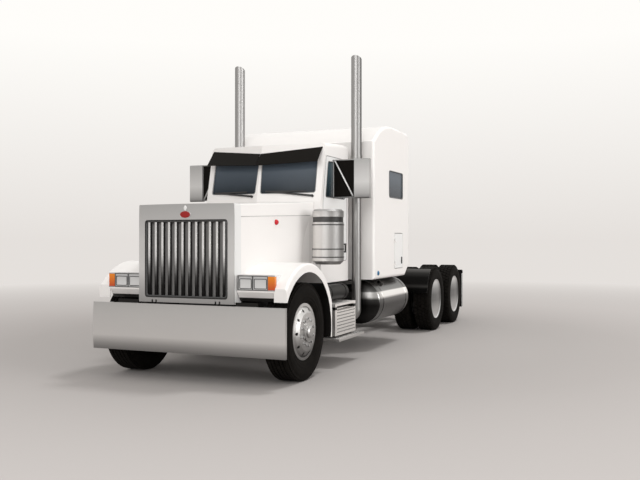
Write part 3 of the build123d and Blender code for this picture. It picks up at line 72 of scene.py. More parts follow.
class Wire:
    # a shader socket, so that sums on it add Math nodes
    def __init__(self, graph, socket):
        self.graph, self.socket = graph, socket

    def maths(self, operation, a, b=None, clamp=False):
        inputs = {0: a} if b is None else {0: a, 1: b}
        return self.graph.node("Math", inputs, operation=operation, use_clamp=clamp)

    __add__ = __radd__ = operator("ADD")
    __sub__ = operator("SUBTRACT")
    __mul__ = operator("MULTIPLY")
    __truediv__ = operator("DIVIDE")
    __pow__ = operator("POWER")
    sine = operator("SINE")
    absolute = operator("ABSOLUTE")
    fraction = operator("FRACT")
    above = operator("GREATER_THAN")

    def __rsub__(self, other):
        return self.maths("SUBTRACT", other, self)

    def below(self, level):
        return 1 - self.above(level)

    def between(self, low, high):
        return self.above(low) * self.below(high)

    def clamp(self):
        return self.maths("ADD", self, 0.0, clamp=True)


class Graph:
    # a shader tree, filled in node by node
    def __init__(self, owner):
        owner.use_nodes = True
        self.tree = owner.node_tree

    def put(self, socket, value):
        if isinstance(value, Wire):
            self.tree.links.new(value.socket, socket)
        elif isinstance(value, tuple) and len(value) == 3 and socket.type == "RGBA":
            socket.default_value = (*value, 1.0)
        else:
            socket.default_value = value

    def node(self, kind, sockets=None, out=0, **settings):
        # a new node with its inputs set or linked, as the wire from one of its outputs
        made = self.tree.nodes.new("ShaderNode" + kind)
        for key, value in settings.items():
            setattr(made, key, value)
        for key, value in (sockets or {}).items():
            self.put(made.inputs[key], value)
        return Wire(self, made.outputs[out])

    def axes(self, kind="Object"):
        split = self.node("SeparateXYZ", {0: self.node("TexCoord", out=kind)}).socket.node
        return [Wire(self, socket) for socket in split.outputs]

    def noise(self, scale, detail, stretch=(1, 1, 1)):
        where = self.node("Mapping", {"Vector": self.node("TexCoord", out="Object"), "Scale": stretch})
        return self.node("TexNoise", {"Vector": where, "Scale": scale, "Detail": detail})

    def mix(self, share, first, second, way="MIX"):
        return self.node("Mix", {0: share, 6: first, 7: second}, 2, data_type="RGBA", blend_type=way)

    def banded(self, tone, value, pairs):
        # a tone times the grey that (place, share) pairs give along a coordinate, for painted reflection,
        # highlight and shade bands
        low, high = pairs[0][0], pairs[-1][0]
        grey = self.node("ValToRGB", {0: self.ramp(value, low, high)})
        stops = grey.socket.node.color_ramp.elements
        while len(stops) < len(pairs):
            stops.new(0.5)
        for stop, (place, share) in zip(stops, pairs):
            stop.position = (place - low) / (high - low)
            stop.color = (share, share, share, 1)
        return self.mix(1.0, tone, grey, "MULTIPLY")

    def ramp(self, value, low, high):
        return self.node("MapRange", {0: value, 1: low, 2: high}, clamp=True)

    def seen(self):
        # one for a ray from the camera, straight or by way of a polished face or glass
        total = self.node("LightPath", out="Is Camera Ray")
        rays = total.socket.node.outputs
        for kind in ("Is Glossy Ray", "Is Transmission Ray"):
            total = total.maths("ADD", total, Wire(self, rays[kind]), clamp=True)
        return total


class Paint(Graph):
    # a material with one Principled shader
    def __init__(self, name, **plain):
        self.material = bpy.data.materials.new(name)
        super().__init__(self.material)
        self.shader = self.tree.nodes["Principled BSDF"]
        self.set(**plain)

    def set(self, **values):
        for socket, value in values.items():
            self.put(self.shader.inputs[socket.replace("_", " ")], value)

    def bump(self, height, strength, distance):
        self.set(Normal=self.node("Bump", {"Strength": strength, "Distance": distance, "Height": height}))
        return self.material


def shade(colour, share):
    return tuple(channel * share for channel in colour)


def distance(a, b, centre=(0, 0)):
    # how far a point lies from a line along the third axis
    a, b = a - centre[0], b - centre[1]
    return (a * a + b * b) ** 0.5


def sprayedPaint(name, colour, roughness, coat, grime, shine=0.5, inside=None):
    # inside is a function that gives a mask and its painted colour for the faces that lie in shade: painted
    # shade, or painted light that lifts the shade
    paint = Paint(name, Coat_Weight=coat, Coat_Roughness=0.04, Specular_IOR_Level=shine)
    x, y, z = paint.axes()
    cloud = paint.noise(1.3, 4)
    low = paint.ramp(z, 1.3, 0.35)
    dust = (low * paint.noise(5, 5) * grime + cloud * 0.03 * grime).clamp()
    tone = paint.mix(dust, colour, shade((0.62, 0.6, 0.57), colour[0] + 0.1))
    if inside:
        mask, dark = inside(paint, x, y, z)
        tone = paint.mix(mask, tone, dark)
    paint.set(Base_Color=tone, Roughness=roughness + dust * 0.35 + paint.noise(60, 2) * 0.05)
    return paint.bump(paint.noise(420, 1), 0.03, 0.0006)


def brushedMetal(name, colour, roughness, along, grain=0.06, grime=0.15, depth=0.0002, ribs=None, **bands):
    # the bands give painted reflections, highlights and shade that a polished face carries along an axis, as
    # (place, share) pairs ribs give a pitch over Y and the two shares of it between which each rib's edge
    # darkens: a painted highlight down each rib's middle and painted shade at its edges
    stretch = {"x": (0.02, 1, 1), "y": (1, 0.02, 1), "z": (1, 1, 0.02), "": (1, 1, 1)}[along]
    paint = Paint(name, Metallic=1.0)
    lines = paint.noise(700, 3, stretch)
    smear = paint.noise(2.2, 5)
    spots = paint.ramp(paint.noise(26, 4), 0.56, 0.8)
    tone = paint.mix((smear * grime + spots * grime * 0.4).clamp(), colour, shade(colour, 0.62))
    places = dict(zip("xyz", paint.axes()))
    places["y"] = places["y"].absolute()
    for axis, pairs in bands.items():
        tone = paint.banded(tone, places[axis], pairs)
    if ribs:
        pitch, soft, edge = ribs
        fold = ((places["y"] / pitch).fraction() - 0.5).absolute()
        tone = paint.mix(paint.ramp(fold, soft, edge), tone, (0.012, 0.011, 0.011))
    paint.set(Base_Color=tone, Roughness=roughness + lines * grain + smear * 0.06 + spots * 0.08)
    return paint.bump(lines, 0.12, depth)


def castMetal(name, colour, roughness, lump=0.0012):
    paint = Paint(name, Metallic=0.1)
    grit = paint.noise(160, 5)
    rust = paint.ramp(paint.noise(9, 6), 0.55, 0.75)
    paint.set(Base_Color=paint.mix(rust * 0.45, colour, (0.14, 0.085, 0.05)),
              Roughness=roughness + grit * 0.2)
    return paint.bump(grit, 0.35, lump)


def mouldedPlastic(name, colour, roughness, grain=600):
    paint = Paint(name)
    pits = paint.node("TexVoronoi", {"Vector": paint.node("TexCoord", out="Object"), "Scale": grain})
    wear = paint.noise(7, 5)
    paint.set(Base_Color=paint.mix(wear * 0.25, colour, shade((1, 1, 1), colour[0] * 1.7 + 0.02)),
              Roughness=roughness + wear * 0.15)
    return paint.bump(pits, 0.15, 0.0003)


def tyreRubber(name, centreX):
    paint = Paint(name, Specular_IOR_Level=0.05)
    x, y, z = paint.axes()
    radius = distance(x, z, (centreX, tyreRadius))
    rings = (radius * 520).sine() * paint.ramp(radius, 0.47, 0.455) * paint.ramp(radius, 0.36, 0.37)
    dust = paint.ramp(paint.noise(14, 6), 0.42, 0.75)
    tread = paint.ramp(radius, 0.505, tyreRadius)
    soil = (dust * 0.2 + tread * 0.06).clamp()
    paint.set(Base_Color=paint.mix(soil, (0.0045, 0.0037, 0.003), (0.04, 0.036, 0.032)),
              Roughness=0.7 + dust * 0.25)
    return paint.bump(rings * 0.25 + paint.noise(220, 4) * 0.5, 0.35, 0.001)


def softRubber(name, colour):
    paint = Paint(name)
    bloom = paint.noise(11, 5)
    paint.set(Base_Color=paint.mix(bloom * 0.4, colour, shade(colour, 2.2)), Roughness=0.7 + bloom * 0.15)
    return paint.bump(paint.noise(300, 3), 0.2, 0.0005)


def tintedGlass(name, low, high, seeThrough):
    # low and high are (height, colour) pairs between sill and head: the glass's colour, made lighter towards
    # the head as a painted reflection
    paint = Paint(name, Coat_Weight=0.0, Specular_IOR_Level=0.12)
    x, y, z = paint.axes()
    haze = paint.noise(3, 4)
    tintAndPaintedReflection = paint.mix(paint.ramp(z, low[0], high[0]), low[1], high[1])
    paint.set(Base_Color=paint.mix(haze * 0.2, tintAndPaintedReflection, shade(high[1], 1.2)), Roughness=0.12 + haze * 0.05,
              Alpha=1.0 - seeThrough + haze * 0.02)
    paint.material.surface_render_method = "DITHERED"
    return paint.material


def colouredLens(name, colour, paintedLowTone, pitch=0.006):
    paint = Paint(name, Coat_Weight=0.3, Coat_Roughness=0.1, Specular_IOR_Level=0.3)
    x, y, z = paint.axes()
    flutes = (y * (2 * pi / pitch)).sine() * 0.5 + (z * (2 * pi / pitch)).sine() * 0.5
    # painted light and shade: the lens goes from its lower tone to its own colour between these heights
    fade = paint.ramp(z, 0.98, 1.16)
    paint.set(Base_Color=paint.mix(fade, paintedLowTone, colour), Roughness=0.12 + paint.noise(8, 3) * 0.06)
    return paint.bump(flutes, 0.3, 0.0008)


def wovenCloth(name, colour, accent, pitch=0.0045):
    paint = Paint(name, Sheen_Weight=0.3, Sheen_Roughness=0.5)
    x, y, z = paint.axes()
    turn = 2 * pi / pitch
    weave = ((x + z) * turn).sine() * ((y - z * 0.5) * turn).sine()
    patch = paint.noise(24, 4)
    paint.set(Base_Color=paint.mix((weave * 0.25 + patch * 0.5).clamp(), colour, accent),
              Roughness=0.85 + patch * 0.1)
    return paint.bump(weave + patch, 0.4, 0.0008)


def archPaintedShadeAndLight(paint, x, y, z):
    # painted light and shade on the inner faces of the wings round the front axle: painted light under the
    # crown and painted shade, dark, behind the tyre
    arch = distance(x, z, (3.354, tyreRadius)).below(0.6425)
    tail = x.below(2.95) * z.below(1.02) * y.absolute().below(1.1535)
    dark = paint.mix(paint.ramp(z, 1.05, 1.14), (0.006, 0.005, 0.004), (0.92, 0.90, 0.88))
    return (arch + tail).clamp(), dark


def sleeperPaintedLight(paint, x, y, z):
    # painted light on the front wall of the sleeper, round the boot: paler than the body paint, to lift the
    # shade the cab casts there
    return x.above(1.012), (0.93, 0.91, 0.89)


def cowlPaintedLight(paint, x, y, z):
    # painted light on the cowl under the hood's rear edge: paler than the body paint, to lift the shade that
    # falls there
    return x.between(2.30, 2.58) * y.absolute().below(0.725) * z.below(1.80), (0.93, 0.91, 0.89)


# painted shade in the canister's three fine rings and one broad one, each a dark band with sharp edges over a
# recess, with painted reflection above and below
ringPaintedShade, ringWidth, ringEdge = 0.16, 0.0055, 0.002
canisterPaintedBands = [(1.22, 0.75), (1.26, 1.1)]
for low, high in [(z - ringWidth, z + ringWidth) for z in (1.308, 1.403, 1.690)] + [(1.722, 1.780)]:
    canisterPaintedBands += [(low - ringEdge, 1.05), (low, ringPaintedShade), (high, ringPaintedShade), (high + ringEdge, 1.05)]
canisterPaintedBands.append((1.88, 0.7))

bodyWhite = (0.82, 0.80, 0.78)
finishes = {
    "sleeper": sprayedPaint("sleeperPaint", bodyWhite, 0.34, 0.25, 0.15, inside=sleeperPaintedLight),
    "cab": sprayedPaint("cabPaint", bodyWhite, 0.34, 0.25, 0.15, inside=cowlPaintedLight),
    "hood": sprayedPaint("hoodPaint", bodyWhite, 0.34, 0.25, 0.12),
    "wing": sprayedPaint("wingPaint", bodyWhite, 0.34, 0.25, 0.12, inside=archPaintedShadeAndLight),
    "chassis": sprayedPaint("chassisPaint", (0.010, 0.009, 0.009), 0.5, 0.0, 0.4, 0.3),
    "blackGloss": sprayedPaint("blackGloss", (0.006, 0.005, 0.004), 0.45, 0.0, 0.08, 0.05),
    # painted highlight bands along z on the quarter guards, dark between them
    "guard": brushedMetal("guardDark", (0.30, 0.29, 0.28), 0.35, "y", 0.04, 0.1, 0.0001,
                          z=((0.72, 0.02), (0.76, 0.16), (0.80, 0.04), (0.90, 0.03), (0.97, 0.10),
                             (1.03, 0.34), (1.07, 0.05), (1.12, 0.02))),
    # painted highlight and shade on the grille bars: bright at mid height, dark towards the bottom, and
    # bright down each bar's middle
    "bars": brushedMetal("barsBright", (0.86, 0.86, 0.86), 0.16, "z", 0.03, ribs=(0.08383, 0.09, 0.21),
                         z=((0.9, 0.01), (1.02, 0.02), (1.12, 0.08), (1.22, 0.3), (1.34, 0.85), (1.45, 1.0),
                            (1.72, 0.75))),
    # painted shade on the stacks and mirror frames, darker on their outer sides in |y|
    "pipe": brushedMetal("pipeBright", (0.31, 0.305, 0.30), 0.36, "", 0.0, 0.02, 0.0,
                         y=((0.70, 1.0), (0.905, 1.05), (0.935, 0.75), (0.957, 0.5))),
    # a painted highlight band along z on the air tanks, dark above and below
    "reservoir": brushedMetal("reservoirDark", (0.022, 0.020, 0.018), 0.4, "x", 0.04, 0.1, 0.0001,
                              z=((0.75, 0.3), (0.85, 0.4), (0.90, 1.0), (0.97, 0.3))),
    # painted reflection and shade on the canister: bands along z, and lighter inboard and darker outboard
    # across |y|
    "canister": brushedMetal("canisterBright", (0.52, 0.51, 0.50), 0.42, "z", 0.03, 0.06, 0.0001,
                             z=canisterPaintedBands, y=((0.80, 0.7), (0.85, 1.6), (0.93, 1.4), (1.06, 0.72),
                                                 (1.13, 0.55), (1.18, 0.42))),
    # painted reflection on the fuel tanks: a bright band along z, dark top and bottom, and painted shade on
    # the domed front end
    "tank": brushedMetal("tankPolished", (0.42, 0.41, 0.40), 0.24, "x", 0.05, 0.1, 0.0001,
                         z=((0.36, 0.06), (0.42, 0.16), (0.50, 0.22), (0.62, 0.10), (0.70, 0.30),
                            (0.735, 2.38), (0.795, 2.3), (0.81, 0.5), (0.88, 0.2), (0.96, 0.05)),
                         x=((-0.5, 1.0), (0.72, 1.0), (0.84, 0.7), (0.95, 0.34), (1.01, 0.24))),
    # painted shade on the front wheels, darker towards the bottom
    "wheel": brushedMetal("wheelPolished", (0.56, 0.55, 0.54), 0.38, "", 0.05, 0.3,
                          z=((0.22, 0.35), (0.40, 0.55), (0.60, 1.0), (0.83, 1.2))),
    # painted reflection bands along z on the drive wheel covers and the badge rim
    "cover": brushedMetal("coverPolished", (0.50, 0.50, 0.50), 0.30, "", 0.05, 0.1,
                          z=((0.25, 1.5), (0.36, 1.1), (0.50, 0.36), (0.60, 0.28), (0.70, 0.6), (0.80, 1.3))),
    # painted shade on the step boxes: a near-black band in the slot and darker towards the bottom
    "steps": brushedMetal("stepsBright", (0.80, 0.78, 0.76), 0.40, "x", 0.06,
                          z=((0.30, 0.5), (0.37, 0.9), (0.672, 1.1), (0.676, 0.03), (0.706, 0.03),
                             (0.710, 1.1), (0.75, 1.2))),
    "axle": castMetal("axleCast", (0.03, 0.03, 0.032), 0.55),
    "engine": castMetal("engineCast", (0.10, 0.11, 0.12), 0.5),
    "spring": castMetal("springSteel", (0.04, 0.038, 0.036), 0.5, 0.0005),
    "plastic": mouldedPlastic("blackPlastic", (0.008, 0.007, 0.007), 0.5),
    "dash": mouldedPlastic("dashPlastic", (0.10, 0.10, 0.105), 0.6),
    "core": mouldedPlastic("radiatorCore", (0.24, 0.235, 0.23), 0.6, 180),
    "mesh": mouldedPlastic("grilleMesh", (0.16, 0.155, 0.15), 0.6, 400),
    # painted light: a pale boot, to lift the shade in the gap between cab and sleeper
    "boot": softRubber("bootRubber", (0.56, 0.55, 0.54)),
    "rubber": softRubber("softRubber", (0.012, 0.012, 0.012)),
    # painted reflection in the glass, lighter towards the head
    "glass": tintedGlass("screenGlass", (2.10, (0.009, 0.013, 0.017)), (2.40, (0.080, 0.100, 0.124)), 0.05),
    "doorGlass": tintedGlass("doorGlass", (2.05, (0.010, 0.016, 0.020)), (2.48, (0.06, 0.10, 0.12)), 0.08),
    "lens": colouredLens("clearLens", (0.52, 0.52, 0.52), (0.68, 0.68, 0.67)),
    "amber": colouredLens("amberLens", (0.85, 0.27, 0.006), (0.48, 0.032, 0.008), 0.008),
    "red": colouredLens("redLens", (0.50, 0.008, 0.018), (0.38, 0.005, 0.012), 0.008),
    "cloth": wovenCloth("seatCloth", (0.09, 0.10, 0.12), (0.18, 0.19, 0.22)),
    "ticking": wovenCloth("mattressCloth", (0.42, 0.43, 0.46), (0.55, 0.56, 0.6), 0.006),
    "grey": softRubber("greySeal", (0.10, 0.10, 0.10)),
    "seam": softRubber("seamShade", (0.20, 0.20, 0.20)),
    "rivet": sprayedPaint("rivetPaint", (0.80, 0.80, 0.79), 0.32, 0.3, 0.2),
    "bolt": castMetal("boltSteel", (0.10, 0.10, 0.10), 0.42, 0.0006),
    "nut": brushedMetal("nutChrome", (0.66, 0.66, 0.66), 0.16, "", 0.04, 0.2),
    "dimple": mouldedPlastic("dimpleShade", (0.05, 0.05, 0.05), 0.5),
    "lip": brushedMetal("lipDark", (0.10, 0.10, 0.10), 0.45, "", 0.04, 0.1),
    "blue": colouredLens("blueCap", (0.008, 0.13, 0.27), (0.008, 0.09, 0.19), 0.01),
    "enamel": sprayedPaint("redEnamel", (0.29, 0.008, 0.008), 0.35, 0.1, 0.03, 0.3),
    "mirrorGlass": brushedMetal("mirrorGlass", (0.80, 0.81, 0.82), 0.02, "", 0.0, 0.03, 0.00001),
}


def twoTone(name, base, dark, box, darkFinish=0.5, shine=0.5, tones=None):
    # the base finish, with a plain second one inside a box given as (low, high) pairs on x, |y| and z
    paint = Paint(name, Specular_IOR_Level=shine)
    x, y, z = paint.axes()
    inside = x.between(*box[0]) * y.absolute().between(*box[1]) * z.between(*box[2])
    cloud = paint.noise(3, 4)
    tone = paint.mix(cloud * 0.12, base["colour"], shade(base["colour"], 0.7))
    # the tones are painted reflection and shade bands along z
    if tones:
        tone = paint.banded(tone, z, tones)
    paint.set(Base_Color=paint.mix(inside, tone, dark), Metallic=(1 - inside) * base["metal"],
              Roughness=(1 - inside) * base["rough"] + inside * darkFinish + cloud * 0.05)
    return paint.bump(paint.noise(500, 2), 0.06, 0.0004)


doorPaint = {"colour": (0.80, 0.80, 0.79), "metal": 0.0, "rough": 0.34}
brightHead = {"colour": (0.52, 0.515, 0.51), "metal": 1.0, "rough": 0.30}
satinShell = {"colour": (0.50, 0.495, 0.49), "metal": 1.0, "rough": 0.42}
pressedBumper = {"colour": (0.62, 0.61, 0.60), "metal": 1.0, "rough": 0.32}
flapBlack = {"colour": (0.010, 0.009, 0.009), "metal": 0.0, "rough": 0.7}
# a pale, unmetallic tone for the side faces of the grille shell and lamp pods: painted light where light
# falls on them
paintedSideLight, deepBlack = (0.74, 0.74, 0.73), (0.006, 0.005, 0.004)
doorRear, lockerRear = 1.309, -0.286
finishes.update({
    "door": twoTone("doorPaint", doorPaint, deepBlack,
                    ((doorRear + 0.076, doorRear + 0.112), (0.8055, 0.90), (1.34, 1.47)), 0.4),
    "locker": twoTone("lockerPaint", doorPaint, (0.02, 0.02, 0.02),
                      ((lockerRear + 0.03, lockerRear + 0.09), (1.1005, 1.12), (1.15, 1.27)), 0.4),
    # painted reflection bands along z on the bright mirror heads; the dark panel is their black back plate
    "mirror": twoTone("mirrorBright", brightHead, deepBlack, ((1.774, 1.7915), (0.80, 1.099), (2.03, 2.54)),
                      0.5, 0.05, ((2.03, 0.35), (2.10, 0.75), (2.24, 1.15), (2.36, 1.0), (2.53, 0.75))),
    # grille shell: painted light on its side faces, and painted reflection bands along z
    "shell": twoTone("shellSatin", satinShell, paintedSideLight, ((3.80, 3.9555), (0.5755, 0.60), (0.84, 1.90)),
                     0.4, 0.5, ((0.85, 0.66), (0.95, 0.8), (1.2, 1.25), (1.5, 1.15), (1.9, 0.82))),
    # lamp pods: painted light on their outer side faces, and painted shade towards the bottom
    "pod": twoTone("podSatin", satinShell, paintedSideLight, ((3.70, 3.9130), (0.99, 1.05), (0.97, 1.17)), 0.4, 0.5,
                   ((0.98, 0.6), (1.15, 0.9))),
    # bumper: a black strip on the outer top as painted shade for the gap behind it, and painted reflection
    # bands along z
    "bumper": twoTone("bumperBright", pressedBumper, deepBlack, ((3.90, 4.05), (0.59, 0.87), (0.829, 0.90)),
                      0.6, 0.2, ((0.31, 0.36), (0.38, 0.62), (0.47, 1.12), (0.58, 1.0), (0.83, 0.74))),
    # a painted highlight along the outer edges of the mudflaps
    "flap": twoTone("flapRubber", flapBlack, (0.60, 0.60, 0.59), ((-4.0, -3.8), (1.190, 1.25), (0.10, 0.875)),
                    0.5, 0.1),
})
# the starts of the names of the CAD pieces that wear each finish
worn = {
    "sleeper": "sleeper_shell", "cab": "cab_shell", "hood": "hood_shell", "wing": "front_wings",
    "door": "door_left door_right", "locker": "locker_door", "mirror": "mirror", "blackGloss": "sun_visor",
    "chassis": "frame_rails coupling trailing_beams", "guard": "quarter_guards", "reservoir": "air_tanks",
    "flap": "mudflaps", "bumper": "front_bumper", "shell": "grille_shell", "pod": "lamp_pods",
    "bars": "grille_bars", "pipe": "exhaust_stacks", "canister": "air_cleaners", "tank": "fuel_tanks",
    "steps": "step_boxes", "wheel": "front_wheel", "cover": "drive_wheels", "core": "radiator",
    "axle": "drive_axles front_axle knuckle tie_rod", "engine": "engine_block", "spring": "front_springs",
    "plastic": "wipers steering_wheel", "dash": "dashboard seat_bases", "rubber": "air_springs",
    "boot": "sleeper_boot", "glass": "fixed_glass", "doorGlass": "door_glass", "lens": "headlamps",
    "amber": "turn_lamps", "red": "tail_lamps", "cloth": "seats", "ticking": "bunk_mattress",
    "front": "front_tyre", "forward": "drive_tyres_forward", "rear": "drive_tyres_rear",
}


def middle(node):
    return [(low + high) / 2 for low, high in zip(*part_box(node))]


def coat(piece, finish):
    piece.data.materials.clear()
    piece.data.materials.append(finishes[finish])


frontX = middle("front_wheel_left")[0]
driveX = {row: middle(f"drive_wheels_{row}_left")[0] for row in ("forward", "rear")}
finishes["front"] = tyreRubber("tyreFront", frontX)
finishes.update({row: tyreRubber(f"tyre_{row}", x) for row, x in driveX.items()})
for finish, starts in worn.items():
    for name, node in nodes.items():
        if name.startswith(tuple(starts.split())):
            coat(node, finish)
print("finishes done")


def meshOf(name, points, faces=(), edges=()):
    mesh = bpy.data.meshes.new(name)
    mesh.from_pydata(points, edges, faces)
    mesh.update()
    return mesh


def newPiece(name, mesh, finish, body):
    piece = placed(name, mesh)
    coat(piece, finish)
    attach(piece, body)
    return piece


stage = {"half": 90.0, "near": (0.41, 0.388, 0.375), "open": (0.49, 0.462, 0.448),
         "worn": (0.5, 0.49, 0.48), "horizon": (0.78, 0.745, 0.715), "zenith": (1.0, 0.985, 0.955),
         "spread": (3.5, 8), "fade": (4.5, 18), "light": (0.96, 0.93, 0.905), "strength": 0.70,
         "band": (0.0, 0.24)}
half = stage["half"]
corners = [(-half, -half, 0), (half, -half, 0), (half, half, 0), (-half, half, 0)]
floor = placed("floor", meshOf("floor", corners, [(0, 1, 2, 3)]))

# near the vehicle the floor is painted darker, a painted shade round the vehicle, and far away it fades into
# the backdrop
paint = Paint("floorPaintedShade", Specular_IOR_Level=0.1)
x, y, z = paint.axes()
away = distance(x, y)
groundPaintedShade = paint.mix(paint.ramp(away, *stage["spread"]), stage["near"], stage["open"])
paint.set(Base_Color=paint.mix(paint.noise(0.5, 3) * 0.08, groundPaintedShade, stage["worn"]),
          Roughness=0.8 + paint.noise(0.6, 3) * 0.1)
far = paint.node("Emission", {"Color": stage["horizon"], "Strength": 1.0})
share = paint.ramp(away, *stage["fade"]) * paint.seen()
blend = paint.node("MixShader", {0: share, 1: Wire(paint, paint.shader.outputs[0]), 2: far})
paint.put(paint.tree.nodes["Material Output"].inputs[0], blend)
floor.data.materials.append(paint.material)

# the backdrop that is seen, and a plain light that falls on everything else
world = bpy.data.worlds.new("studio")
bpy.context.scene.world = world
sky = Graph(world)
plain = sky.tree.nodes["Background"]
sky.put(plain.inputs[0], stage["light"])
sky.put(plain.inputs[1], stage["strength"])
x, y, z = sky.axes("Generated")
tone = sky.mix(sky.ramp(z, *stage["band"]), stage["horizon"], stage["zenith"])
backdrop = sky.node("Background", {0: tone})
blend = sky.node("MixShader", {0: sky.seen(), 1: Wire(sky, plain.outputs[0]), 2: backdrop})
sky.put(sky.tree.nodes["World Output"].inputs[0], blend)

lights = {  # place, aim, size, watts
    "key": ((-2, 5, 18), (0, 0, 0.5), 3, 1150),
    "front": ((17, 3, 7), (1, 0, 1.2), 9, 800),
    "side": ((4, 20, 5), (-1, 0, 1.2), 10, 1500),
}
for name, (place, aim, size, power) in lights.items():
    light = placed(name, bpy.data.lights.new(name, "AREA"))
    light.data.size = size
    light.data.energy = power
    light.location = place
    light.rotation_euler = (Vector(aim) - Vector(place)).to_track_quat("-Z", "Y").to_euler()
print("stage done")


def growTree(name, inputs, build):
    # a Geometry Nodes tree with named inputs, ending in Realize Instances and Set Material
    tree = bpy.data.node_groups.new(name, "GeometryNodeTree")
    for label, kind in {"Geometry": "Geometry", **inputs, "Material": "Material"}.items():
        tree.interface.new_socket(label, in_out="INPUT", socket_type="NodeSocket" + kind)
    tree.interface.new_socket("Geometry", in_out="OUTPUT", socket_type="NodeSocketGeometry")
    entry, leave = tree.nodes.new("NodeGroupInput"), tree.nodes.new("NodeGroupOutput")

    def add(kind, sources=None, **settings):
        # one node, its inputs set or linked, as its first output
        node = tree.nodes.new(kind if "Node" in kind else "GeometryNode" + kind)
        for key, value in settings.items():
            setattr(node, key, value)
        for key, value in (sources or {}).items():
            for source in value if isinstance(value, list) else [value]:
                if isinstance(source, bpy.types.NodeSocket):
                    tree.links.new(source, node.inputs[key])
                else:
                    node.inputs[key].default_value = source
        return node.outputs[0]

    real = add("RealizeInstances", {"Geometry": build(add, entry.outputs)})
    done = add("SetMaterial", {"Geometry": real, "Material": entry.outputs["Material"]})
    tree.links.new(done, leave.inputs[0])
    return tree


def ringTree(add, given):
    # copies of one segment turned about the Y axis
    step = add("ShaderNodeMath", {0: 2 * pi, 1: given["Count"]}, operation="DIVIDE")
    turn = add("ShaderNodeMath", {0: add("InputIndex"), 1: step}, operation="MULTIPLY")
    spin = add("FunctionNodeEulerToRotation", {0: add("ShaderNodeCombineXYZ", {1: turn})})
    spots = add("Points", {"Count": given["Count"]})
    return add("InstanceOnPoints", {"Points": spots, "Instance": given["Geometry"], "Rotation": spin})


def studTree(add, given):
    # a chamfered head on a washer at each point, facing along the point's own direction
    wide, narrow = (add("ShaderNodeMath", {0: given["Radius"], 1: share}, operation="MULTIPLY")
                    for share in (1.35, given["Taper"]))
    washer = add("MeshCylinder", {"Vertices": 12, "Depth": 0.002, "Radius": wide}, fill_type="NGON")
    head = add("MeshCone", {"Vertices": given["Sides"], "Radius Bottom": given["Radius"],
                            "Radius Top": narrow, "Depth": given["Height"]}, fill_type="NGON")
    both = add("JoinGeometry", {0: [head, washer]})
    facing = add("InputNamedAttribute", {"Name": "facing"}, data_type="FLOAT_VECTOR")
    spin = add("FunctionNodeAlignRotationToVector", {"Vector": facing}, axis="Z")
    return add("InstanceOnPoints", {"Points": given["Geometry"], "Instance": both, "Rotation": spin})


def pipeTree(add, given):
    # a round bead or hose along each run of edges
    path = add("MeshToCurve", {"Mesh": given["Geometry"]})
    ring = add("CurvePrimitiveCircle", {"Resolution": 10, "Radius": given["Radius"]})
    solid = add("CurveToMesh", {"Curve": path, "Profile Curve": ring, "Fill Caps": True})
    return add("SetShadeSmooth", {"Geometry": solid})


def brickTree(add, given):
    # one small raised bar at each point
    bar = add("MeshCube", {"Size": given["Size"]})
    return add("InstanceOnPoints", {"Points": given["Geometry"], "Instance": bar})


studInputs = {"Radius": "Float", "Height": "Float", "Taper": "Float", "Sides": "Int"}
trees = {
    "ring": growTree("ringRepeat", {"Count": "Int"}, ringTree),
    "studs": growTree("studScatter", studInputs, studTree),
    "pipe": growTree("pipeAlong", {"Radius": "Float"}, pipeTree),
    "bricks": growTree("brickScatter", {"Size": "Vector"}, brickTree),
}


def settled(thing):
    # the mesh that an object's modifiers make
    bpy.context.view_layer.update()
    return bpy.data.meshes.new_from_object(thing.evaluated_get(bpy.context.evaluated_depsgraph_get()))


def grown(name, mesh, tree, finish, body, slot, centre=(0, 0, 0), **values):
    maker = placed(name + "Maker", mesh)
    modifier = maker.modifiers.new("grow", "NODES")
    modifier.node_group = trees[tree]
    values["Material"] = finishes[finish]
    for item in trees[tree].interface.items_tree:
        if item.in_out == "INPUT" and item.name in values:
            modifier[item.identifier] = values[item.name]
    result = settled(maker)
    bpy.data.objects.remove(maker)
    result.transform(Matrix.Translation(centre))
    return newPiece(name, result, finish, body)


def studs(name, spots, size, finish, body, slot):
    # spots are (place, facing) pairs, and size holds what the tree's inputs name
    mesh = meshOf(name, [place for place, facing in spots])
    ways = mesh.attributes.new("facing", "FLOAT_VECTOR", "POINT")
    for item, (place, facing) in zip(ways.data, spots):
        item.vector = facing
    grown(name, mesh, "studs", finish, body, slot, **dict(zip(studInputs, size)))


def pipes(name, runs, radius, finish, body, slot):
    points, edges = [], []
    for run in runs:
        edges += [(len(points) + i, len(points) + i + 1) for i in range(len(run) - 1)]
        points += run
    grown(name, meshOf(name, points, edges=edges), "pipe", finish, body, slot, Radius=radius)


def bricks(name, places, size, finish, body, slot):
    grown(name, meshOf(name, places), "bricks", finish, body, slot, Size=size)


def circle(steps):
    # the cosine and sine of even steps round one turn
    return [(cos(2 * pi * k / steps), sin(2 * pi * k / steps)) for k in range(steps)]


def lofted(name, rings, top=True, bottom=False, loop=False, smooth=False):
    # a skin through rings with the same number of points, closed at its ends or into a loop
    count, total = len(rings[0]), len(rings)
    faces = []
    for low in range(total if loop else total - 1):
        high = (low + 1) % total
        faces += [(low * count + k, low * count + (k + 1) % count,
                   high * count + (k + 1) % count, high * count + k) for k in range(count)]
    if bottom:
        faces.append(tuple(reversed(range(count))))
    if top:
        faces.append(tuple(range((total - 1) * count, total * count)))
    mesh = meshOf(name, [point for ring in rings for point in ring], faces)
    for polygon in mesh.polygons:
        polygon.use_smooth = smooth and len(polygon.vertices) == 4
    return mesh


def joined(name, meshes, outward=False):
    work = bmesh.new()
    for mesh in meshes:
        work.from_mesh(mesh)
    if outward:
        bmesh.ops.recalc_face_normals(work, faces=work.faces)
    result = bpy.data.meshes.new(name)
    work.to_mesh(result)
    work.free()
    return result


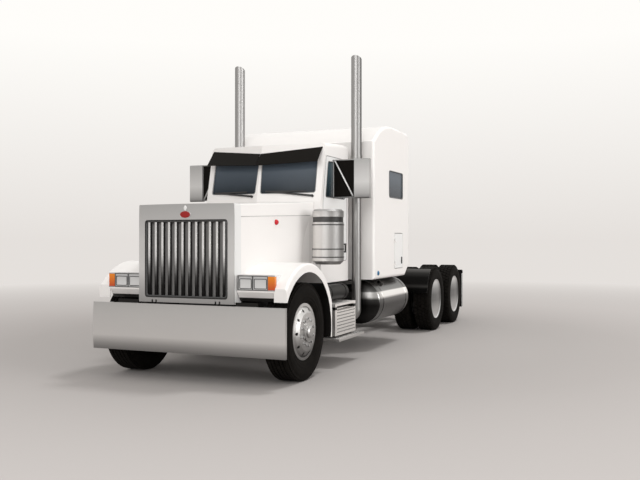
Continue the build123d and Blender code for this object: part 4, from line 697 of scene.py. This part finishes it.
boxFaces = ((0, 3, 2, 1), (4, 5, 6, 7), (0, 1, 5, 4), (1, 2, 6, 5), (2, 3, 7, 6), (3, 0, 4, 7))


def boxCorners(xs, ys, zs):
    return [(x, y, z) for z in zs
            for x, y in ((xs[0], ys[0]), (xs[1], ys[0]), (xs[1], ys[1]), (xs[0], ys[1]))]


# road tyres, each a ribbed casing under a ring of tread blocks
tyre = {"halfWidth": 0.14, "steps": 120, "groove": 0.016, "bevel": 0.0025, "spacing": 0.345,
        "notch": (0.016, 0.040), "notchIn": (0.026, 0.011), "notchBevel": 0.0015,
        # half of it, as steps down from the tread and in from the side wall
        "section": ((0.015, 0.14), (0.015, 0.045), (0.019, 0.03), (0.026, 0.016), (0.040, 0.009),
                    (0.046, 0.010), (0.050, 0.006), (0.075, 0.002), (0.100, 0.0), (0.130, 0.0005),
                    (0.134, 0.002), (0.138, 0.0005), (0.165, 0.003), (0.169, 0.006), (0.173, 0.004),
                    (0.190, 0.010), (0.205, 0.020), (0.2158, 0.030), (0.2218, 0.038), (0.2398, 0.041),
                    (0.2398, 0.14))}
treads = {  # each row's two edges, and the share of a pitch that it is turned by
    "steer": {"pitches": 60, "gap": 0.0022, "lean": 0.003, "rows": (  # five ribs, closed but for fine cuts
        (-0.116, -0.072, 0.0), (-0.062, -0.030, 0.5), (-0.020, 0.020, 0.0), (0.030, 0.062, 0.5),
        (0.072, 0.116, 0.0))},
    "drive": {"pitches": 52, "gap": 0.010, "lean": 0.006, "rows": (  # four rows of open lugs
        (-0.116, -0.064, 0.0), (-0.054, -0.005, 0.5), (0.005, 0.054, 0.0), (0.064, 0.116, 0.5))},
}
casing = [(tyreRadius - down, tyre["halfWidth"] - inward) for down, inward in tyre["section"]]
casing += [(radius, -y) for radius, y in reversed(casing[1:-1])]


def treadBlock(corners, top, bottom, bevel):
    # corners are (turn, y) pairs, between two radii, with a chamfered upper edge
    middle = [sum(corner[i] for corner in corners) / len(corners) for i in (0, 1)]
    rings = []
    for radius, inset in ((bottom, 0.0), (top - bevel, 0.0), (top, bevel)):
        ring = []
        for turn, y in corners:
            share = 1 - inset / hypot((turn - middle[0]) * radius, y - middle[1])
            angle = middle[0] + (turn - middle[0]) * share
            ring.append((radius * sin(angle), middle[1] + (y - middle[1]) * share, radius * cos(angle)))
        rings.append(ring)
    return lofted("treadBlock", rings)


def treadPitch(kind):
    tread, bottom = treads[kind], tyreRadius - tyre["groove"]
    pitch, gap, lean = 2 * pi / tread["pitches"], tread["gap"] / tyreRadius, tread["lean"] / tyreRadius
    blocks = []
    for low, high, shift in tread["rows"]:
        start, end = pitch * shift + gap / 2, pitch * (shift + 1) - gap / 2
        corners = [(start - lean, low), (end - lean, low), (end + lean, high), (start + lean, high)]
        blocks.append(treadBlock(corners, tyreRadius, bottom, tyre["bevel"]))
    top, bottom = (tyreRadius - down for down in tyre["notch"])
    upper, lower = (tyre["halfWidth"] - inward for inward in tyre["notchIn"])
    for way in (1, -1):  # shoulder notches under the outer rows
        corners = [(gap, way * upper), (pitch - gap, way * upper),
                   (pitch - gap, way * lower), (gap, way * lower)]
        blocks.append(treadBlock(corners, top, bottom, tyre["notchBevel"]))
    return joined(kind + "Pitch", blocks, outward=True)


half = tyre["spacing"] / 2
for side, way in sides:
    dressings = [(f"front_tyre_{side}", f"front_wheel_{side}", "steer", "front", (0.0,))]
    dressings += [(f"drive_tyres_{row}_{side}", f"drive_wheels_{row}_{side}", "drive", row, (half, -half))
                  for row in driveX]
    for node, body, kind, finish, shifts in dressings:
        parts = []
        for shift in shifts:
            x, y, z = middle(node)
            rings = [[(x + radius * s, y + shift + out, z + radius * c) for radius, out in casing]
                     for c, s in circle(tyre["steps"])]
            shell = lofted(node, rings, top=False, loop=True, smooth=True)
            parts.append(joined(node + "Casing", [shell], outward=True))
            ring = grown(node + "Ring", treadPitch(kind), "ring", finish, body, "tyre_rubber",
                         (x, y + shift, z), Count=treads[kind]["pitches"])
            parts.append(ring.data)
            bpy.data.objects.remove(ring)
        mesh = joined(node + "Road", parts)
        piece = newPiece(node.replace("_", "") + "Road", mesh, finish, body)
        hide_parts(node)
print("tyres done")


def rounded(points, radius, steps=4):
    # a closed run of points with its corners rounded
    run = []
    for i, corner in enumerate(points):
        before, here, after = Vector(points[i - 1]), Vector(corner), Vector(points[(i + 1) % len(points)])
        first = here + (before - here).normalized() * radius
        last = here + (after - here).normalized() * radius
        for k in range(steps + 1):
            t = k / steps
            run.append(tuple(first * (1 - t) ** 2 + here * 2 * t * (1 - t) + last * t ** 2))
    return run + [run[0]]


def flip(points):
    return [(x, -y, z) for x, y, z in points]


def frontLoop(x, ys, zs):
    # the corners of an upright rectangle that faces along X
    return [(x, ys[0], zs[0]), (x, ys[0], zs[1]), (x, ys[1], zs[1]), (x, ys[1], zs[0])]


# seals round the glass and the dark seams of the doors
screen = {"base": (2.338, 0.0, 1.984), "rake": 0.218, "sweep": 0.18, "sunk": 0.001, "round": 0.03,
          "line": 0.0045, "corners": ((0.042, 0.105), (0.042, 0.590), (0.756, 0.550), (0.744, 0.115))}
normal = Vector((1, screen["sweep"], screen["rake"])).normalized()
across = Vector((-screen["sweep"], 1, 0)).normalized()
up = normal.cross(across)
loop = rounded([tuple(Vector(screen["base"]) + across * u + up * v - normal * screen["sunk"])
                for u, v in screen["corners"]], screen["round"])
pipes("screenSeal", [loop, flip(loop)], screen["line"], "seam", "chassis", "black_rubber")
seals = {
    "doorSeal": {"y": 0.804, "round": 0.035, "line": 0.006, "finish": "grey",
                 "corners": ((2.035, 2.047), (1.9476, 2.498), (1.371, 2.498), (1.371, 2.047))},
    "doorSeams": {"y": 0.8042, "round": 0.04, "line": 0.0028, "finish": "seam",
                  "corners": ((2.1155, 1.241), (2.1155, 1.985), (2.0062, 2.564), (1.305, 2.564),
                              (1.305, 1.241))},
    "sleeperSeal": {"y": 1.0995, "round": 0.04, "line": 0.006, "finish": "grey",
                    "corners": ((0.374, 2.12), (0.374, 2.50), (-0.286, 2.50), (-0.286, 2.12))},
}
for name, seal in seals.items():
    loop = rounded([(x, seal["y"], z) for x, z in seal["corners"]], seal["round"])
    if name == "doorSeal":  # it swings with the door
        pipes(name + "Left", [loop], seal["line"], seal["finish"], "door_left", "black_rubber")
        pipes(name + "Right", [flip(loop)], seal["line"], seal["finish"], "door_right", "black_rubber")
    else:
        pipes(name, [loop, flip(loop)], seal["line"], seal["finish"], "chassis", "black_rubber")

# the long seam on each side of the hood, round lenses on its sides and on the sleeper
hood = {"seam": [(3.815, 0.5858, 1.757), (2.31, 0.7165, 1.8085)], "line": 0.0022,
        "reflector": (3.114, 0.6475, 1.71), "facing": (0.0873, 1, 0), "lens": (0.031, 0.032),
        "cap": (0.866, 1.100, 1.057), "capLens": (0.034, 0.020)}
pipes("hoodSeam", [hood["seam"], flip(hood["seam"])], hood["line"], "seam", "hood", "white_paint")


def domePair(name, place, facing, size, finish, body, rings=7, steps=28):
    # a round lens with a bulging face on the left, and its mirror image
    radius, height = size
    meshes = []
    for spot, way in zip([place, *flip([place])], [facing, *flip([facing])]):
        turn = Vector(way).to_track_quat("Z", "Y").to_matrix()
        lens = []
        for k in range(rings):
            out, lift = radius * cos(k * pi / 2 / rings), height * sin(k * pi / 2 / rings)
            lens.append([tuple(turn @ Vector((out * c, out * s, lift)) + Vector(spot))
                         for c, s in circle(steps)])
        meshes.append(lofted(name, lens, smooth=True))
    newPiece(name, joined(name, meshes), finish, body)


domePair("hoodReflectors", hood["reflector"], hood["facing"], hood["lens"], "red", "hood")
domePair("sleeperCaps", hood["cap"], (0, 1, 0), hood["capLens"], "blue", "chassis")

# the grille's trim, the fine screen behind its bars, and the bare ovals over it
grille = {"x": 3.967, "half": 0.503, "z": (0.900, 1.720), "round": 0.03, "trim": 0.0055, "lipX": 3.955,
          "lip": 0.011, "screenX": (3.9205, 3.9235), "screenY": (-0.5025, 0.5025),
          "screenZ": (0.9005, 1.7195)}
half, (low, high), lip = grille["half"], grille["z"], grille["lip"]
loop = frontLoop(grille["x"], (-half, half), (low, high))
pipes("grilleTrim", [rounded(loop, grille["round"])], grille["trim"], "plastic", "hood", "black_gloss")
loop = frontLoop(grille["lipX"], (lip - half, half - lip), (low + lip, high - lip))
pipes("grilleLip", [rounded(loop, grille["round"])], lip, "lip", "hood", "satin_shell")
corners = boxCorners(grille["screenX"], grille["screenY"], grille["screenZ"])
newPiece("grilleScreen", meshOf("grilleScreen", corners, boxFaces), "mesh", "hood")
ovals = {  # height, half sizes, (share of the size, depth) of each ring, finish
    "grilleBadgeRim": (1.779, (0.066, 0.038), ((1.0, 0.0), (1.0, 0.004), (0.97, 0.005), (0.93, 0.0045)),
                       "cover"),
    "grilleBadge": (1.779, (0.066, 0.038), ((0.95, 0.0046), (0.6, 0.0062), (0.2, 0.0068)), "enamel"),
    "grillePlate": (1.848, (0.017, 0.028), ((1.0, 0.0), (0.9, 0.005), (0.6, 0.007)), "rivet"),
}
for name, (height, size, depths, finish) in ovals.items():
    rings = [[(grille["x"] + depth, size[0] * share * c, height + size[1] * share * s) for c, s in circle(40)]
             for share, depth in depths]
    newPiece(name, lofted(name, rings), finish, "hood")

# lamp bezels on each pod's front face, an outer loop and an inner one round each lamp
bezels = {"x": 3.9135, "z": (0.997, 1.141), "edges": ((0.603, 0.768), (0.772, 0.942)), "line": 0.0036,
          "innerX": 3.9095, "innerZ": (1.011, 1.111), "insets": (0.016, 0.014), "rounds": (0.008, 0.01)}
runs = []
for near, off in bezels["edges"]:
    inner = (near + bezels["insets"][0], off - bezels["insets"][1])
    runs.append(rounded(frontLoop(bezels["x"], (near, off), bezels["z"]), bezels["rounds"][0]))
    runs.append(rounded(frontLoop(bezels["innerX"], inner, bezels["innerZ"]), bezels["rounds"][1]))
pipes("lampBezels", runs + [flip(run) for run in runs], bezels["line"], "lip", "hood", "satin_shell")

# step boxes: rows of raised tread bars, near black on the box faces as painted shade for the plate's dimples,
# and more on the lower plate
bars = {"x": (1.735, 2.350), "face": 1.0757, "z": (0.405, 0.640), "rows": 7, "pitch": 0.044,
        "size": (0.028, 0.003, 0.010), "plateX": 1.60, "platePitch": 0.05, "plateCount": 17,
        "plateY": (1.092, 1.112, 1.132), "plateZ": 0.343, "plateSize": (0.030, 0.007, 0.003)}
(start, end), (low, high), pitch = bars["x"], bars["z"], bars["pitch"]
columns = int((end - start) / pitch) + 1
places = []
for row in range(bars["rows"]):
    z = low + (high - low) * row / (bars["rows"] - 1)
    for column in range(columns):
        x = start + column * pitch + (0.5 * pitch if row % 2 and column < columns - 1 else 0)
        places += [(x, bars["face"], z), (x, -bars["face"], z)]
bricks("stepTreads", places, bars["size"], "dimple", "chassis", "polished_aluminium")
places = [(bars["plateX"] + bars["platePitch"] * k, way * y, bars["plateZ"])
          for k in range(bars["plateCount"]) for y in bars["plateY"] for way in (1, -1)]
bricks("stepPlateTreads", places, bars["plateSize"], "nut", "chassis", "polished_aluminium")
print("trim done")


def bothSides(x, y, z):
    return [((x, way * y, z), (0, way, 0)) for way in (1, -1)]


# nuts, bolts and rivets: a head's size is its radius, height, taper and sides
nuts = {"radius": 0.143, "count": 10, "y": 1.140, "size": (0.0165, 0.022, 0.82, 6)}
for side, way in sides:
    spots = [((frontX + nuts["radius"] * s, way * nuts["y"], tyreRadius + nuts["radius"] * c), (0, way, 0))
             for c, s in circle(nuts["count"])]
    studs(f"wheelNuts_{side}", spots, nuts["size"], "nut", f"front_wheel_{side}", "bright_steel")
# mount: the X where the front mounts begin, and the highest row that runs on past it
rail = {"y": 0.4325, "rows": (0.735, 0.80, 0.915), "x": (-3.90, 3.30), "pitch": 0.16,
        "size": (0.011, 0.010, 0.88, 6), "mount": (3.05, 0.80)}
(start, end), spots = rail["x"], []
for k in range(int((end - start) / rail["pitch"])):
    x = start + k * rail["pitch"]
    for z in rail["rows"][::2] if k % 3 else rail["rows"]:
        if x <= rail["mount"][0] or z <= rail["mount"][1]:
            spots += bothSides(x, rail["y"], z)
studs("railBolts", spots, rail["size"], "bolt", "chassis", "chassis_paint")
rivets = {"x": (0.985, -0.575), "z": (1.03, 2.74), "pitch": 0.075, "y": 1.1003,
          "size": (0.0042, 0.0022, 0.6, 10), "rearLow": 1.15, "backX": -0.6162, "backY": (-1.03, 1.03),
          "backZ": 1.17, "backPitch": 0.07, "backCount": 26}
(low, high), spots = rivets["z"], []
for k in range(int((high - low) / rivets["pitch"]) + 1):
    z = low + k * rivets["pitch"]
    for x in rivets["x"]:
        if x > 0 or z >= rivets["rearLow"]:
            spots += bothSides(x, rivets["y"], z)
for k in range(rivets["backCount"]):
    z = rivets["backZ"] + k * rivets["backPitch"]
    spots += [((rivets["backX"], y, z), (-1, 0, 0)) for y in rivets["backY"]]
studs("sleeperRivets", spots, rivets["size"], "rivet", "chassis", "white_paint")
couple = {"x": -2.206, "steps": (-0.28, -0.2, 0.2, 0.28), "y": (-0.4, 0.4), "z": 0.977,
          "size": (0.012, 0.006, 0.8, 6)}
spots = [((couple["x"] + step, y, couple["z"]), (0, 0, 1)) for step in couple["steps"] for y in couple["y"]]
studs("couplingBolts", spots, couple["size"], "bolt", "chassis", "chassis_paint")
flap = {"x": -3.9015, "y": (0.68, 0.82, 0.96, 1.10), "z": 0.86, "size": (0.010, 0.006, 0.85, 6)}
spots = [((flap["x"], way * y, flap["z"]), (-1, 0, 0)) for y in flap["y"] for way in (1, -1)]
studs("flapBolts", spots, flap["size"], "bolt", "chassis", "black_rubber")
print("fasteners done")

# mirrors: a glass behind each head and a bright edge round the dark panel
mirror = {"glassX": 1.7485, "y": (1.112, 1.288), "z": (2.06, 2.505), "round": 0.02, "rim": 0.004,
          "panelX": 1.791, "panelY": (0.816, 1.098), "panelZ": (2.052, 2.520), "panelRound": 0.012,
          "edge": 0.006}
for side, way in sides:
    loop = rounded(frontLoop(mirror["glassX"], [way * y for y in mirror["y"]], mirror["z"]), mirror["round"])
    panel = frontLoop(mirror["panelX"], [way * y for y in mirror["panelY"]], mirror["panelZ"])
    body = f"door_{side}"
    face = tuple(range(len(loop) - 1))[::way]
    mesh = meshOf("mirrorGlass", loop[:-1], [face])
    newPiece(f"mirrorGlass_{side}", mesh, "mirrorGlass", body)
    pipes(f"mirrorRim_{side}", [loop], mirror["rim"], "grey", body, "bright_steel")
    panel = rounded(panel, mirror["panelRound"])
    pipes(f"mirrorFrame_{side}", [panel], mirror["edge"], "pipe", body, "bright_steel")

# air springs: two-lobed rubber bellows between bead plates
bellows = {"aft": 0.25, "y": 0.3895, "z": (0.472, 0.690), "waist": 0.066, "lobe": 0.028, "fullness": 0.6,
           "rows": 32, "steps": 36}
(low, high), profile = bellows["z"], []
for k in range(bellows["rows"] + 1):
    t = k / bellows["rows"]
    bulge = bellows["lobe"] * abs(sin(2 * pi * t)) ** bellows["fullness"]
    profile.append((bellows["waist"] + bulge, low + (high - low) * t))
meshes = []
for x in driveX.values():
    for way in (1, -1):
        middleX, middleY = x - bellows["aft"], way * bellows["y"]
        rings = [[(middleX + radius * c, middleY + radius * s, z) for c, s in circle(bellows["steps"])]
                 for radius, z in profile]
        meshes.append(lofted("bellows", rings, bottom=True, smooth=True))
piece = newPiece("airSpringBellows", joined("airSpringBellows", meshes), "rubber", "chassis")
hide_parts("air_springs")
print("running gear done")

padding = {"bevel": 0.03, "pressure": 4, "quality": 4, "frames": 20}


def stuffed(name, corners, sizes, axis, lines, finish, node):
    # remeshed, inflated as cloth, held to a small movement, then seamed along the channels
    work = bmesh.new()
    dots = [work.verts.new(corner) for corner in corners]
    for face in boxFaces:
        work.faces.new([dots[i] for i in face])
    bmesh.ops.recalc_face_normals(work, faces=work.faces)
    bmesh.ops.bevel(work, geom=work.edges[:], offset=padding["bevel"], segments=3, profile=0.5,
                    affect="EDGES")
    mesh = bpy.data.meshes.new(name)
    work.to_mesh(mesh)
    work.free()
    piece = newPiece(name, mesh, finish, "chassis")

    def settle():
        made = settled(piece)
        piece.modifiers.clear()
        piece.data = made

    remesh = piece.modifiers.new("remesh", "REMESH")
    remesh.mode, remesh.voxel_size = "VOXEL", sizes["voxel"]
    settle()
    rest = [vertex.co.copy() for vertex in piece.data.vertices]
    cloth = piece.modifiers.new("cloth", "CLOTH")
    cloth.settings.use_pressure = True
    cloth.settings.uniform_pressure_force = padding["pressure"]
    cloth.settings.effector_weights.gravity = 0
    cloth.settings.quality = padding["quality"]
    cloth.point_cache.frame_start, cloth.point_cache.frame_end = 1, padding["frames"]
    for step in range(1, padding["frames"] + 1):
        bpy.context.scene.frame_set(step)
    settle()
    bpy.context.scene.frame_set(1)
    for vertex, start in zip(piece.data.vertices, rest):
        move = vertex.co - start
        if move.length > sizes["cap"]:
            vertex.co = start + move.normalized() * sizes["cap"]
    fine = piece.modifiers.new("fine", "SUBSURF")
    fine.levels = fine.render_levels = 1
    settle()
    piece.data.update()
    (width, depth), shifts = sizes["channel"], []
    for vertex in piece.data.vertices:
        near = min(abs(vertex.co[axis] - line) for line in lines)
        shifts.append(vertex.normal * -depth * exp(-(near / width) ** 2))
    for vertex, shift in zip(piece.data.vertices, shifts):
        vertex.co += shift
    for polygon in piece.data.polygons:
        polygon.use_smooth = True
    coat(piece, finish)
    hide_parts(node)


# seats with two channels along each cushion and three across each back, and the mattress of the bunk
seat = {"y": 0.40, "half": 0.236, "x": (1.358, 1.782), "z": (1.372, 1.486),
        "voxel": 0.011, "cap": 0.012, "fill": 0.6,
        # the back's lower and upper end: its X, how far it draws in at each side, its height
        "back": (((1.358, 1.462), 0.01, 1.512), ((1.327, 1.394), 0.02, 2.136)), "channel": (0.008, 0.010),
        "cushionLines": (-0.12, 0.12), "backLines": (1.66, 1.80, 1.94)}
for side, way in sides:
    low, high = way * seat["y"] - seat["half"], way * seat["y"] + seat["half"]
    cushion, back = boxCorners(seat["x"], (low, high), seat["z"]), []
    for xs, inset, z in seat["back"]:
        back += boxCorners(xs, (low + inset, high - inset), [z])
    lines = [way * seat["y"] + step for step in seat["cushionLines"]]
    stuffed(f"seatCushion_{side}", cushion, seat, 1, lines, "cloth", "seats")
    stuffed(f"seatBack_{side}", back, seat, 2, seat["backLines"], "cloth", "seats")
bed = {"edge": 0.015, "under": 0.012, "over": 0.014, "voxel": 0.018, "cap": 0.014, "fill": 0.7,
       "channel": (0.012, 0.012), "lines": [-0.75 + 0.25 * k for k in range(7)]}
low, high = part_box("bunk_mattress")
xs, ys = ((low[i] + bed["edge"], high[i] - bed["edge"]) for i in (0, 1))
corners = boxCorners(xs, ys, (low[2] + bed["under"], high[2] - bed["over"]))
stuffed("bunkMattress", corners, bed, 1, bed["lines"], "ticking", "bunk_mattress")
print("padding done")
